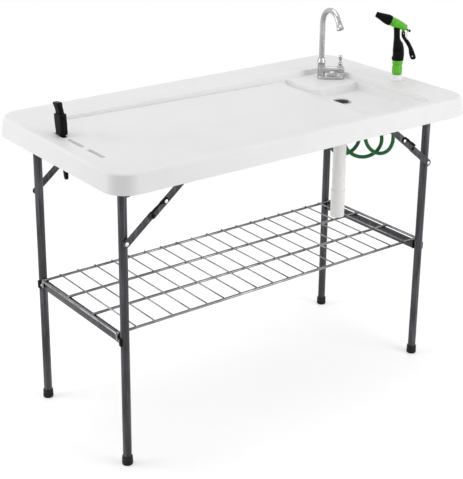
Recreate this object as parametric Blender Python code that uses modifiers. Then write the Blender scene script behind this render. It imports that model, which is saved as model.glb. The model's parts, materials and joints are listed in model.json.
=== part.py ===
"""Folding sink table: moulded top with basin, folding steel legs, wire shelf, tap and hand sprayer.

Metres, +Z up. The origin is on the floor under the middle of the table top, +X runs along the
table towards the basin and +Y to the back edge.
"""
from math import atan2, ceil, cos, hypot, pi, radians, sin, sqrt

import bmesh
import bpy
from mathutils import Matrix, Vector

# Table top
TABLE_LENGTH = 1.156
TABLE_WIDTH = 0.610
TABLE_HEIGHT = 0.813
SKIRT_HEIGHT = 0.050
SKIRT_DRAFT = 0.006
CORNER_RADIUS = 0.060
EDGE_RADIUS = 0.007
SHELL_WALL = 0.006

# Sunk work surface and its drain channel
RIM_LEFT = 0.104
RIM_RIGHT = 0.112
RIM_FRONT = 0.027
RIM_BACK = 0.126
RECESS_CORNER = 0.030
RECESS_DRAFT = 0.004
RECESS_DEPTH_LEFT = 0.004
RECESS_DEPTH_RIGHT = 0.016
CHANNEL_WIDTH = 0.011
CHANNEL_DEPTH = 0.006
CHANNEL_INSET = 0.005

# Basin and the ledge that carries the tap
BASIN_LENGTH = 0.208
BASIN_DEPTH = 0.040
BASIN_WALL_INSET = 0.004
BASIN_FOOT_INSET = 0.008
BASIN_SLOPE_LENGTH = 0.058
BASIN_CORNER = 0.026
BASIN_FLOOR_ROUND = 0.006
LEDGE_LENGTH = 0.160
LEDGE_WIDTH = 0.140
LEDGE_CORNER = 0.034
LEDGE_DRAFT = 0.006

# Ribs and bosses under the top
RIB_THICKNESS = 0.005
RIB_FOOT = 0.0075
RIB_COUNT = 3
BOSS_LENGTH = 0.040
BOSS_WIDTH = 0.018
BOSS_FROM_END = 0.038
BOSS_STEP = 0.255
BOSS_COUNT = 3

# Knife slots in the left rim
SLOT_FROM_EDGE = 0.050
SLOT_WIDTH = 0.0125
SLOT_LENGTH = 0.074
SLOT_STEP = 0.096
SLOT_FRONT_FROM_CENTRE = 0.126
HELD_SLOT_LENGTH = 0.052
HELD_SLOT_GAP = 0.012

# Leg frames
LEG_INSET = 0.0735
LEG_FROM_SIDE = 0.099
LEG_RADIUS = 0.0112
LEG_WALL = 0.0014
PIVOT_BELOW_TOP = 0.068
CROSS_TUBE_RADIUS = 0.0085
FOOT_RADIUS = 0.0142
FOOT_HEIGHT = 0.034
FOOT_SOLE = 0.005

# Folding braces, as plates one outside the other
BRACE_DROP = 0.136
BRACE_REACH = 0.168
LINK_WIDTH = 0.019
LINK_THICKNESS = 0.0025
LINK_STANDOFF = 0.0045
PIN_RADIUS = 0.003
PIN_CLEARANCE = 0.0005
RIVET_RADIUS = 0.0055
RIVET_HEIGHT = 0.0016
CATCH_FROM_JOINT = 0.047
CATCH_THICKNESS = 0.002
CATCH_LENGTH = 0.046

# Side rails
RAIL_THICKNESS = 0.0025
RAIL_WIDTH = 0.027
RAIL_HEIGHT = 0.020
RAIL_END_GAP = 0.048
TAB_WIDTH = 0.030
TAB_STANDOFF = 0.001

# Wire shelf
SHELF_HEIGHT = 0.3590
CROSSBAR_HEIGHT = 0.024
CROSSBAR_WIDTH = 0.014
ROD_RADIUS = 0.0037
WIRE_RADIUS = 0.002
WIRE_COUNT = 18
ROD_COUNT = 4
RACK_FROM_LEG = 0.019
HOOK_DROP = 0.020
SADDLE_THICKNESS = 0.0035
SADDLE_HEIGHT = 0.021

# Basin drain
DRAIN_FROM_WALL = 0.124
DRAIN_Y = -0.035
DRAIN_HOLE_RADIUS = 0.0200
DRAIN_FLANGE_RADIUS = 0.0275
DRAIN_FLANGE_HEIGHT = 0.0022
PIPE_RADIUS = 0.0188
PIPE_WALL = 0.0018
PIPE_TOP_BELOW_FLOOR = 0.020
PIPE_LENGTH = 0.258
OUTLET_RADIUS = 0.0194
OUTLET_LENGTH = 0.082
OUTLET_OVERLAP = 0.020

# Tap
TAP_FROM_RIGHT_WALL = 0.040
TAP_FROM_BACK_WALL = 0.070
TAP_TURN = -38.0
BASE_LENGTH = 0.080
BASE_SHIFT = -0.0035
BASE_WIDTH = 0.032
BASE_HEIGHT = 0.009
SPOUT_OFFSET = 0.033
SPOUT_RADIUS = 0.008
SPOUT_ARCH_RADIUS = 0.0445
SPOUT_ARCH_ANGLE = 149.0
SPOUT_RISE = 0.2105
SPOUT_TURN = -100.0
NOZZLE_LENGTH = 0.022
NOZZLE_RADIUS = 0.0105
COLLAR_HEIGHT = 0.014
BRIDGE_HEIGHT = 0.035
SHANK_RADIUS = 0.0095
LEVER_OFFSET = 0.0225
LEVER_HEIGHT = 0.032
LEVER_BALL = 0.0062
ADAPTER_RADIUS = 0.0135
ADAPTER_HEIGHT = 0.030

# Hand sprayer in its rim socket
SPRAYER_FROM_RIGHT_EDGE = 0.046
SPRAYER_Y = -0.057
SPRAYER_TURN = 141.8
SOCKET_RISE = 0.0160
SOCKET_RADIUS = 0.0195
SOCKET_TOP_RADIUS = 0.0150
SOCKET_BORE = 0.0092
SOCKET_HOLE = 0.0140
CONNECTOR_RADIUS = 0.0147
CONNECTOR_HEIGHT = 0.0318
RING_HEIGHT = 0.0105
GRIP_HEIGHT = 0.094
BARREL_RISE_ANGLE = 23.7
BARREL_RADIUS = 0.0132
BARREL_LENGTH = 0.049
BEZEL_LENGTH = 0.0465
BEZEL_TIP_RADIUS = 0.0085
TRIGGER_WIDTH = 0.013
TRIGGER_PIVOT = (-0.0120, 0.0793)
CLIP_PIVOT = (-0.0206, 0.0618)
KNOB_RADIUS = 0.0036
KNOB_DROP = 0.0040

# Curly hose from the tap to the sprayer
HOSE_RADIUS = 0.0056
CURL_TURNS = 2.5
CURL_RADIUS = 0.041
CURL_HEIGHT = 0.045
CURL_END_SHARE = 0.48
CURL_BELOW_TOP = 0.185
CURL_FALL = 0.026
CURL_POINTS = 20
HOSE_SIDES = 1

# Knife in its sheath
KNIFE_LEAN = 7.0
THROAT_LENGTH = 0.052
THROAT_TOP_WIDTH = 0.040
THROAT_FOOT_WIDTH = 0.034
THROAT_DEPTH = 0.0200
SCABBARD_LENGTH = 0.114
SCABBARD_WIDTH = 0.024
SCABBARD_DEPTH = 0.0085
SCABBARD_SHIFT = (0.0015, -0.006)
HANDLE_WIDTH = 0.024
HANDLE_DEPTH = 0.014
HANDLE_SHOWN = 0.028
BLADE_THICKNESS = 0.0016

CLEARANCE = 0.0003
UNION_OVERLAP = 0.001

# Values worked out from the sizes above
TOP_X = TABLE_LENGTH / 2 - SKIRT_DRAFT
TOP_Y = TABLE_WIDTH / 2 - SKIRT_DRAFT
SKIRT_Z = TABLE_HEIGHT - SKIRT_HEIGHT
RECESS_X0 = -TOP_X + RIM_LEFT
RECESS_X1 = TOP_X - RIM_RIGHT
RECESS_Y0 = -TOP_Y + RIM_FRONT
RECESS_Y1 = TOP_Y - RIM_BACK
WORK_END_X = RECESS_X1 - BASIN_LENGTH
LEDGE_Z = TABLE_HEIGHT - RECESS_DEPTH_RIGHT
BASIN_Z = TABLE_HEIGHT - BASIN_DEPTH
BASIN_UNDERSIDE = BASIN_Z - SHELL_WALL
RAIL_TOP = BASIN_UNDERSIDE - 2 * UNION_OVERLAP
LEG_X = TABLE_LENGTH / 2 - LEG_INSET
LEG_Y = TABLE_WIDTH / 2 - LEG_FROM_SIDE
PIVOT_Z = TABLE_HEIGHT - PIVOT_BELOW_TOP
BRACE_LENGTH = hypot(BRACE_DROP, BRACE_REACH)
LOWER_LENGTH = (BRACE_LENGTH - BRACE_REACH + BRACE_DROP) / 2
UPPER_LENGTH = BRACE_LENGTH - LOWER_LENGTH
BRACE_ANGLE = atan2(BRACE_DROP, BRACE_REACH)
LOWER_PLANE = LEG_Y + LEG_RADIUS + LINK_STANDOFF + LINK_THICKNESS / 2
UPPER_PLANE = LOWER_PLANE + LINK_THICKNESS + RIVET_HEIGHT + CLEARANCE
CATCH_PLANE = UPPER_PLANE + LINK_THICKNESS / 2 + CLEARANCE + CATCH_THICKNESS / 2
TAB_INNER = UPPER_PLANE + LINK_THICKNESS / 2 + TAB_STANDOFF
TAB_PLANE = TAB_INNER + RAIL_THICKNESS / 2
SHELF_Z = SHELF_HEIGHT
CROSSBAR_Z = SHELF_Z - CROSSBAR_HEIGHT / 2
DRAIN_X = RECESS_X1 - DRAIN_FROM_WALL
TAP_X = RECESS_X1 - TAP_FROM_RIGHT_WALL
TAP_Y = RECESS_Y1 - TAP_FROM_BACK_WALL
TAP_ANGLE = radians(TAP_TURN)
SPOUT_X = TAP_X - SPOUT_OFFSET * cos(TAP_ANGLE)
SPOUT_Y = TAP_Y - SPOUT_OFFSET * sin(TAP_ANGLE)
LEVER_X = TAP_X + LEVER_OFFSET * cos(TAP_ANGLE)
LEVER_Y = TAP_Y + LEVER_OFFSET * sin(TAP_ANGLE)
SPRAYER_X = TOP_X - SPRAYER_FROM_RIGHT_EDGE
SOCKET_TOP = TABLE_HEIGHT + SOCKET_RISE
SLOT_X = -TOP_X + SLOT_FROM_EDGE - UNION_OVERLAP
SLOT_Y = tuple(-SLOT_FRONT_FROM_CENTRE + n * SLOT_STEP for n in range(2))
HELD_SLOT_Y = SLOT_Y[1] + SLOT_LENGTH / 2 + HELD_SLOT_GAP + HELD_SLOT_LENGTH / 2

SIDES = (("left", -1), ("right", 1))
FACES = (("front", -1), ("back", 1))


def make_collection(name):
    """Returns a new collection linked to the scene."""
    collection = bpy.data.collections.new(name)
    bpy.context.scene.collection.children.link(collection)
    return collection


def make_material(name, colour, roughness, metallic=0.0):
    """Returns a Principled material of one colour."""
    material = bpy.data.materials.new(name)
    material.use_nodes = True
    shader = material.node_tree.nodes["Principled BSDF"]
    shader.inputs["Base Color"].default_value = (*colour, 1.0)
    shader.inputs["Roughness"].default_value = roughness
    shader.inputs["Metallic"].default_value = metallic
    material.diffuse_color = (*colour, 1.0)
    return material


for old in list(bpy.data.objects):
    bpy.data.objects.remove(old, do_unlink=True)

PARTS = make_collection("folding_sink_table")
CUTTERS = make_collection("cutters")

WHITE = make_material("white_polyethylene", (0.80, 0.81, 0.82), 0.45)
DRAIN_WHITE = make_material("white_pipe", (0.78, 0.77, 0.74), 0.35)
STEEL = make_material("grey_powder_coat", (0.085, 0.085, 0.10), 0.40, 0.3)
RUBBER = make_material("black_rubber", (0.015, 0.015, 0.016), 0.70)
BLACK = make_material("black_plastic", (0.018, 0.018, 0.020), 0.40)
ZINC = make_material("bright_zinc", (0.75, 0.76, 0.78), 0.28, 1.0)
CHROME = make_material("chrome", (0.82, 0.83, 0.85), 0.08, 1.0)
BRIGHT_GREEN = make_material("bright_green_plastic", (0.12, 0.55, 0.04), 0.30)
HOSE_GREEN = make_material("green_hose", (0.02, 0.20, 0.06), 0.32)
BLADE_STEEL = make_material("blade_steel", (0.70, 0.71, 0.73), 0.22, 1.0)


def finish(obj, material=None, smooth=True):
    """Puts an object in the parts with its material, or among the cutters without one."""
    if obj.name not in PARTS.objects and obj.name not in CUTTERS.objects:
        (PARTS if material else CUTTERS).objects.link(obj)
    if material:
        obj.data.materials.append(material)
        if smooth and obj.type == "MESH":
            obj.data.shade_smooth()
            obj.data.set_sharp_from_angle(angle=radians(35))
    else:
        obj.hide_render = True
        obj.display_type = "WIRE"
    return obj


def mesh_object(name, mesh_builder, place=(0, 0, 0), turn=(0, 0, 0), material=None):
    """Turns a bmesh into an object at its place."""
    mesh = bpy.data.meshes.new(name)
    mesh_builder.to_mesh(mesh)
    mesh_builder.free()
    obj = bpy.data.objects.new(name, mesh)
    obj.location = place
    obj.rotation_euler = turn
    return finish(obj, material)


def add_boolean(obj, tool, operation):
    """Cuts or joins one object with another."""
    modifier = obj.modifiers.new(tool.name, "BOOLEAN")
    modifier.object = tool
    modifier.operation = operation
    return obj


def cut(obj, *tools):
    """Takes each tool's shape out of the object."""
    for tool in tools:
        add_boolean(obj, tool, "DIFFERENCE")
    return obj


def join(obj, *tools):
    """Adds each tool's shape to the object."""
    for tool in tools:
        add_boolean(obj, tool, "UNION")
    return obj


def edges_at(builder, height):
    """Lists the edges that lie flat at a height."""
    return [edge for edge in builder.edges if all(abs(v.co.z - height) < 1e-6 for v in edge.verts)]


def upright_edges(builder):
    """Lists the edges that climb from the lower to the upper face."""
    return [edge for edge in builder.edges if abs(edge.verts[0].co.z - edge.verts[1].co.z) > 1e-6]


def round_edges(builder, edges, radius, segments):
    """Rounds edges with a bevel."""
    if radius > 0:
        bmesh.ops.bevel(builder, geom=edges, offset=radius, segments=segments, profile=0.5, affect="EDGES")


def box_builder(foot, head, z0, z1):
    """Returns a bmesh box whose lower and upper rectangles, each x0, x1, y0, y1, may differ."""
    builder = bmesh.new()
    bmesh.ops.create_cube(builder, size=2.0)
    for vert in builder.verts:
        x0, x1, y0, y1 = foot if vert.co.z < 0 else head
        vert.co = (x0 if vert.co.x < 0 else x1, y0 if vert.co.y < 0 else y1, z0 if vert.co.z < 0 else z1)
    return builder


def grown(rectangle, amount):
    """Widens a rectangle by an amount on all four sides."""
    x0, x1, y0, y1 = rectangle
    return (x0 - amount, x1 + amount, y0 - amount, y1 + amount)


def centred(length, width):
    """Returns a rectangle about the origin."""
    return (-length / 2, length / 2, -width / 2, width / 2)


def block(name, foot, head, z0, z1, corner=0.0, corner_steps=3, top_round=0.0, foot_round=0.0,
          round_steps=2, place=(0, 0, 0), turn=(0, 0, 0), material=None):
    """Models a box with rounded upright corners and, where asked, rounded upper or lower edges."""
    builder = box_builder(foot, head, z0, z1)
    round_edges(builder, upright_edges(builder), corner, corner_steps)
    round_edges(builder, edges_at(builder, z1), top_round, round_steps)
    round_edges(builder, edges_at(builder, z0), foot_round, round_steps)
    return mesh_object(name, builder, place, turn, material)


def disjoint_blocks(name, boxes):
    """Models several plain boxes that don't meet as one tool; each is x0, x1, y0, y1, z0, z1."""
    builder = bmesh.new()
    for x0, x1, y0, y1, z0, z1 in boxes:
        middle = Vector(((x0 + x1) / 2, (y0 + y1) / 2, (z0 + z1) / 2))
        size = Matrix.Diagonal((x1 - x0, y1 - y0, z1 - z0, 1.0))
        bmesh.ops.create_cube(builder, size=1.0, matrix=Matrix.Translation(middle) @ size)
    return mesh_object(name, builder)


def rod_builder(ends, radius, sides):
    """Returns a bmesh with a capped cylinder between each pair of end points."""
    builder = bmesh.new()
    for start, end in ends:
        start, end = Vector(start), Vector(end)
        axis = end - start
        matrix = Matrix.Translation((start + end) / 2) @ axis.to_track_quat("Z", "Y").to_matrix().to_4x4()
        bmesh.ops.create_cone(builder, cap_ends=True, segments=sides, radius1=radius, radius2=radius,
                              depth=axis.length, matrix=matrix)
    return builder


def rods(name, ends, radius, sides, material=None):
    """Models straight round rods between pairs of points."""
    return mesh_object(name, rod_builder(ends, radius, sides), material=material)


def turned(name, profile, steps=24, place=(0, 0, 0), turn=(0, 0, 0), material=None):
    """Turns a profile of radius and height about Z; it runs down its outer side."""
    builder = bmesh.new()
    verts = [builder.verts.new((radius, 0.0, height)) for radius, height in profile]
    for first, second in zip(verts, verts[1:]):
        builder.edges.new((first, second))
    closed = profile[0][0] > 0 and profile[-1][0] > 0
    if closed:
        builder.edges.new((verts[-1], verts[0]))
    obj = mesh_object(name, builder, place, turn, material)
    screw = obj.modifiers.new("turn", "SCREW")
    screw.steps = steps
    screw.render_steps = steps
    screw.use_merge_vertices = True
    screw.merge_threshold = 0.00005
    screw.use_smooth_shade = True
    return obj


def weld_and_face_out(mesh):
    """Closes a converted curve's caps and points all faces outwards."""
    builder = bmesh.new()
    builder.from_mesh(mesh)
    bmesh.ops.remove_doubles(builder, verts=builder.verts, dist=0.00001)
    bmesh.ops.recalc_face_normals(builder, faces=builder.faces)
    builder.to_mesh(mesh)
    builder.free()


def curve_mesh_object(name, curve, place, turn, material):
    """Makes a curve a welded mesh object at its place."""
    guide = bpy.data.objects.new(name + "_guide", curve)
    CUTTERS.objects.link(guide)
    graph = bpy.context.evaluated_depsgraph_get()
    mesh = bpy.data.meshes.new_from_object(guide.evaluated_get(graph))
    mesh.name = name
    mesh.transform(guide.matrix_world)
    bpy.data.objects.remove(guide, do_unlink=True)
    weld_and_face_out(mesh)
    obj = bpy.data.objects.new(name, mesh)
    obj.location = place
    obj.rotation_euler = turn
    return finish(obj, material)


def plate(name, outlines, thickness, place=(0, 0, 0), turn=(pi / 2, 0, 0), material=None):
    """Models a flat plate from closed outlines, holes after the outer one; upright by default."""
    curve = bpy.data.curves.new(name, "CURVE")
    curve.dimensions = "2D"
    curve.fill_mode = "BOTH"
    curve.extrude = thickness / 2
    for outline in outlines:
        spline = curve.splines.new("POLY")
        spline.points.add(len(outline) - 1)
        for point, (a, b) in zip(spline.points, outline):
            point.co = (a, b, 0.0, 1.0)
        spline.use_cyclic_u = True
    return curve_mesh_object(name, curve, place, turn, material)


def tube_curve(name, points, radius, resolution):
    """Returns a round curve through points, with filled caps."""
    curve = bpy.data.curves.new(name, "CURVE")
    curve.dimensions = "3D"
    curve.bevel_depth = radius
    curve.bevel_resolution = resolution
    curve.use_fill_caps = True
    spline = curve.splines.new("POLY")
    spline.points.add(len(points) - 1)
    for item, point in zip(spline.points, points):
        item.co = (*point, 1.0)
    return curve


def tube(name, points, radius, resolution=3, place=(0, 0, 0), turn=(0, 0, 0), material=None):
    """Models a bent round tube as a welded mesh."""
    return curve_mesh_object(name, tube_curve(name, points, radius, resolution), place, turn, material)


def disc(centre, radius, points=16):
    """Returns a round outline."""
    return [(centre[0] + radius * cos(2 * pi * n / points), centre[1] + radius * sin(2 * pi * n / points))
            for n in range(points)]


def capsule(start, end, radius, steps=8):
    """Returns the outline of a flat bar with round ends."""
    angle = atan2(end[1] - start[1], end[0] - start[0])
    outline = []
    for centre, turn in ((end, angle - pi / 2), (start, angle + pi / 2)):
        for n in range(steps + 1):
            outline.append((centre[0] + radius * cos(turn + pi * n / steps),
                            centre[1] + radius * sin(turn + pi * n / steps)))
    return outline


def outward_turn(face):
    """Turns a profile's axis from up to straight out of the front or back."""
    return (-face * pi / 2, 0, 0)


def loft(name, rings, place=(0, 0, 0), turn=(0, 0, 0), material=None):
    """Joins rings of as many points each, from the lowest up, into one closed solid."""
    builder = bmesh.new()
    rows = [[builder.verts.new(point) for point in ring] for ring in rings]
    count = len(rings[0])
    for lower, upper in zip(rows, rows[1:]):
        for n in range(count):
            builder.faces.new((lower[n], lower[(n + 1) % count], upper[(n + 1) % count], upper[n]))
    builder.faces.new(list(reversed(rows[0])))
    builder.faces.new(rows[-1])
    bmesh.ops.recalc_face_normals(builder, faces=builder.faces)
    return mesh_object(name, builder, place, turn, material)


def oval_ring(centre_x, height, half_x, half_y, power=2.0, count=20, centre_y=0.0):
    """Returns a level ring, from an ellipse at power 2 towards a rounded box above it."""
    ring = []
    for n in range(count):
        c, s = cos(2 * pi * n / count), sin(2 * pi * n / count)
        x = abs(c) ** (2 / power) * (1 if c >= 0 else -1)
        y = abs(s) ** (2 / power) * (1 if s >= 0 else -1)
        ring.append((centre_x + half_x * x, centre_y + half_y * y, height))
    return ring


def work_floor(x):
    """Height of the sunk work surface, which falls towards the basin and is level past it."""
    share = min(1.0, max(0.0, (x - RECESS_X0) / (WORK_END_X - RECESS_X0)))
    return TABLE_HEIGHT - RECESS_DEPTH_LEFT - share * (RECESS_DEPTH_RIGHT - RECESS_DEPTH_LEFT)


def sloped_block(name, foot, head, drop, z1, corner, corner_steps=3):
    """Models a block whose lower face follows the work surface, a drop below it."""
    builder = box_builder(foot, head, 0.0, z1)
    bmesh.ops.bisect_plane(builder, geom=list(builder.verts) + list(builder.edges) + list(builder.faces),
                           plane_co=(WORK_END_X, 0, 0), plane_no=(1, 0, 0))
    for vert in builder.verts:
        if vert.co.z < z1 / 2:
            vert.co.z = work_floor(vert.co.x) - drop
    corners = [edge for edge in upright_edges(builder)
               if abs(edge.verts[0].co.x - WORK_END_X) > 1e-4 and abs(edge.verts[0].co.x - edge.verts[1].co.x)
               <= RECESS_DRAFT + 1e-6]
    round_edges(builder, corners, corner, corner_steps)
    return mesh_object(name, builder)


def make_pocket():
    """Models the hollow under the top: all but the wall, the sunk floors, ribs and bosses."""
    inset = SHELL_WALL
    foot = grown((-TABLE_LENGTH / 2, TABLE_LENGTH / 2, -TABLE_WIDTH / 2, TABLE_WIDTH / 2), -inset)
    head = grown((-TOP_X, TOP_X, -TOP_Y, TOP_Y), -inset)
    pocket = block("pocket", foot, head, SKIRT_Z - UNION_OVERLAP, TABLE_HEIGHT - SHELL_WALL,
                   corner=CORNER_RADIUS - inset, corner_steps=5)
    recess = (RECESS_X0, RECESS_X1, RECESS_Y0, RECESS_Y1)
    over = TABLE_HEIGHT + 0.01
    work = sloped_block("work_underside", grown(recess, inset), grown(recess, inset), SHELL_WALL, over,
                        RECESS_CORNER + inset)
    channel = sloped_block("channel_underside", (RECESS_X0 + CHANNEL_INSET, WORK_END_X, RECESS_Y1 - 2 * CHANNEL_INSET
                           - CHANNEL_WIDTH - inset, RECESS_Y1 + inset / 2),
                           (RECESS_X0 + CHANNEL_INSET, WORK_END_X, RECESS_Y1 - 2 * CHANNEL_INSET - CHANNEL_WIDTH
                            - inset, RECESS_Y1 + inset / 2), SHELL_WALL + CHANNEL_DEPTH, over, 0.0)
    sink = block("sink_underside", (WORK_END_X - inset, RECESS_X1 + 1.5 * inset, RECESS_Y0 - 1.5 * inset,
                 RECESS_Y1 + 1.5 * inset), (WORK_END_X - 3 * inset, RECESS_X1 + 1.5 * inset, RECESS_Y0
                 - 1.5 * inset, RECESS_Y1 + 1.5 * inset), BASIN_UNDERSIDE, over, corner=RECESS_CORNER)
    rail_y = TAB_INNER
    boxes = []
    for number in range(BOSS_COUNT):
        place = TABLE_LENGTH / 2 - BOSS_FROM_END - number * BOSS_STEP
        for side in (-1, 1):
            for face in (-1, 1):
                x = side * place
                inner, outer = sorted((face * rail_y, face * (rail_y + BOSS_WIDTH)))
                boxes.append((x - BOSS_LENGTH / 2, x + BOSS_LENGTH / 2, inner, outer, RAIL_TOP + CLEARANCE, over))
    bosses = disjoint_blocks("rail_bosses", boxes)
    ribs = disjoint_blocks("ribs", [(x - RIB_THICKNESS / 2, x + RIB_THICKNESS / 2, -TABLE_WIDTH / 2,
                                     TABLE_WIDTH / 2, SKIRT_Z + RIB_FOOT, over + 0.001) for x in rib_places()])
    return cut(pocket, work, channel, sink, bosses, ribs)


def rib_places():
    """Spaces the cross ribs under the work surface."""
    first, last = -TOP_X + RIM_LEFT + BOSS_LENGTH, WORK_END_X - BOSS_LENGTH * 2
    step = (last - first) / (RIB_COUNT - 1)
    return [first + n * step for n in range(RIB_COUNT)]


def make_basin_cutter():
    """Models the basin's hollow, with its long slope on the left and the ledge left standing."""
    x1, y0, y1 = RECESS_X1 - BASIN_WALL_INSET, RECESS_Y0 + BASIN_WALL_INSET, RECESS_Y1 - CHANNEL_INSET
    rise = RECESS_DEPTH_RIGHT + 0.012
    slope = BASIN_SLOPE_LENGTH / (BASIN_DEPTH - RECESS_DEPTH_RIGHT)
    steep = (BASIN_FOOT_INSET - BASIN_WALL_INSET) / (BASIN_DEPTH - RECESS_DEPTH_RIGHT)
    head = (WORK_END_X - slope * rise, x1 + steep * rise, y0 - steep * rise, y1 + steep * rise)
    foot = (WORK_END_X + BASIN_SLOPE_LENGTH, RECESS_X1 - BASIN_FOOT_INSET, RECESS_Y0 + BASIN_FOOT_INSET,
            RECESS_Y1 - BASIN_FOOT_INSET)
    basin = block("basin", foot, head, BASIN_Z, LEDGE_Z + rise, corner=BASIN_CORNER, corner_steps=4,
                  foot_round=BASIN_FLOOR_ROUND, round_steps=3)
    past_x, past_y = RECESS_X1 + 1.5 * LEDGE_CORNER, RECESS_Y1 + 1.5 * LEDGE_CORNER
    ledge_foot = (RECESS_X1 - LEDGE_LENGTH - LEDGE_DRAFT, past_x, RECESS_Y1 - LEDGE_WIDTH - LEDGE_DRAFT, past_y)
    ledge_head = (RECESS_X1 - LEDGE_LENGTH, past_x, RECESS_Y1 - LEDGE_WIDTH, past_y)
    ledge = block("ledge", ledge_foot, ledge_head, BASIN_Z - 0.01, LEDGE_Z + 0.02, corner=LEDGE_CORNER,
                  corner_steps=4)
    return cut(basin, ledge)


def make_tabletop():
    """Models the moulded top as one shell with its sunk surface, basin, slots and holes."""
    outer = box_builder((-TABLE_LENGTH / 2, TABLE_LENGTH / 2, -TABLE_WIDTH / 2, TABLE_WIDTH / 2),
                        (-TOP_X, TOP_X, -TOP_Y, TOP_Y), SKIRT_Z, TABLE_HEIGHT)
    round_edges(outer, upright_edges(outer), CORNER_RADIUS, 7)
    round_edges(outer, edges_at(outer, TABLE_HEIGHT), EDGE_RADIUS, 3)
    tabletop = mesh_object("tabletop", outer, material=WHITE)
    recess = (RECESS_X0, RECESS_X1, RECESS_Y0, RECESS_Y1)
    work = sloped_block("work_recess", grown(recess, -RECESS_DRAFT / 2), grown(recess, RECESS_DRAFT / 2), 0.0,
                        TABLE_HEIGHT + 0.004, RECESS_CORNER, 5)
    channel_y1 = RECESS_Y1 - CHANNEL_INSET
    channel_foot = (RECESS_X0 + RECESS_CORNER, WORK_END_X + CHANNEL_WIDTH, channel_y1 - CHANNEL_WIDTH, channel_y1)
    channel = sloped_block("drain_channel", channel_foot, channel_foot, CHANNEL_DEPTH, TABLE_HEIGHT + 0.006, 0.0)
    over = TABLE_HEIGHT + 0.01
    drain = turned("drain_hole", [(0, over), (DRAIN_FLANGE_RADIUS + CLEARANCE, over),
                                  (DRAIN_FLANGE_RADIUS + CLEARANCE, BASIN_Z - DRAIN_FLANGE_HEIGHT),
                                  (DRAIN_HOLE_RADIUS, BASIN_Z - DRAIN_FLANGE_HEIGHT),
                                  (DRAIN_HOLE_RADIUS, SKIRT_Z - 0.01), (0, SKIRT_Z - 0.01)],
                   place=(DRAIN_X, DRAIN_Y, 0))
    tap = rods("tap_hole", [((TAP_X, TAP_Y, SKIRT_Z - 0.01), (TAP_X, TAP_Y, over))],
               SHANK_RADIUS + 4 * CLEARANCE, 20)
    socket = rods("socket_hole", [((SPRAYER_X, SPRAYER_Y, SKIRT_Z), (SPRAYER_X, SPRAYER_Y, over))],
                  SOCKET_HOLE + 2 * CLEARANCE, 24)
    cut(tabletop, make_pocket(), work, channel, make_basin_cutter(), drain, tap, socket)
    slots = [(y, SLOT_LENGTH) for y in SLOT_Y] + [(HELD_SLOT_Y, HELD_SLOT_LENGTH)]
    for number, (y, length) in enumerate(slots, 1):
        outline = centred(SLOT_WIDTH, length)
        slot = block(f"slot_{number}", outline, outline, SKIRT_Z, over, corner=SLOT_WIDTH / 2 - 0.0002,
                     corner_steps=4, place=(SLOT_X, y, 0))
        cut(tabletop, slot)
    return tabletop


def make_rail(name, face):
    """Models one side rail: an angle with four tabs that carry the leg and brace pivots."""
    inner, outer = sorted((face * TAB_INNER, face * (TAB_INNER + RAIL_WIDTH)))
    half = TABLE_LENGTH / 2 - RAIL_END_GAP
    flange = (-half, half, inner, outer)
    rail = block(name, flange, flange, RAIL_TOP - RAIL_THICKNESS, RAIL_TOP, material=STEEL)
    lip_inner, lip_outer = sorted((face * (TAB_INNER + RAIL_WIDTH - RAIL_THICKNESS),
                                   face * (TAB_INNER + RAIL_WIDTH + CLEARANCE)))
    lip = (-half + UNION_OVERLAP, half - UNION_OVERLAP, lip_inner, lip_outer)
    join(rail, block(name + "_lip", lip, lip, RAIL_TOP - RAIL_HEIGHT, RAIL_TOP - UNION_OVERLAP / 2))
    pivots = ((LEG_X, CROSS_TUBE_RADIUS + 2 * PIN_CLEARANCE), (LEG_X - BRACE_REACH, PIN_RADIUS + PIN_CLEARANCE))
    for side_name, side in SIDES:
        for number, (distance, hole) in enumerate(pivots):
            tab_top = RAIL_TOP - UNION_OVERLAP / 2 - PIVOT_Z
            half_width = TAB_WIDTH / 2
            outline = [(half_width, tab_top), (-half_width, tab_top)]
            outline += [(half_width * cos(pi + pi * n / 10), half_width * sin(pi + pi * n / 10)) for n in range(11)]
            tab = plate(f"{name}_tab_{side_name}_{number}", [outline, disc((0, 0), hole)], RAIL_THICKNESS,
                        place=(side * distance, face * TAB_PLANE, PIVOT_Z))
            join(rail, tab)
    return rail


def make_leg_frame(name, side):
    """Models two leg tubes welded to the cross tube that they turn on, all hollow."""
    x = side * LEG_X
    head = PIVOT_Z + 0.010
    sole = FOOT_SOLE + CLEARANCE
    end = TAB_INNER + RAIL_THICKNESS + 0.004
    legs = rods(name, [((x, face * LEG_Y, sole), (x, face * LEG_Y, head)) for _, face in FACES], LEG_RADIUS, 18,
                STEEL)
    join(legs, rods(name + "_cross", [((x, -end, PIVOT_Z), (x, end, PIVOT_Z))], CROSS_TUBE_RADIUS, 16))
    bores = [((x, face * LEG_Y, -0.01), (x, face * LEG_Y, head - 2 * LEG_WALL)) for _, face in FACES]
    cross_bore = rods(name + "_cross_bore", [((x, -end - 0.01, PIVOT_Z), (x, end + 0.01, PIVOT_Z))],
                      CROSS_TUBE_RADIUS - LEG_WALL, 12)
    brace_z = PIVOT_Z - BRACE_DROP
    brace_hole = rods(name + "_brace_hole", [((x, -end, brace_z), (x, end, brace_z))], PIN_RADIUS + PIN_CLEARANCE, 12)
    return cut(legs, rods(name + "_bores", bores, LEG_RADIUS - LEG_WALL, 18), cross_bore, brace_hole)


def make_foot(name, side, face):
    """Models the rubber cap on a leg's end."""
    inner = LEG_RADIUS + CLEARANCE
    profile = [(0, FOOT_SOLE), (inner, FOOT_SOLE), (inner, FOOT_HEIGHT), (FOOT_RADIUS - 0.0008, FOOT_HEIGHT),
               (FOOT_RADIUS, 0.006), (FOOT_RADIUS - 0.0008, 0.001), (FOOT_RADIUS - 0.002, 0.0), (0, 0)]
    return turned(name, profile, 20, place=(side * LEG_X, face * LEG_Y, 0), material=RUBBER)


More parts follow.
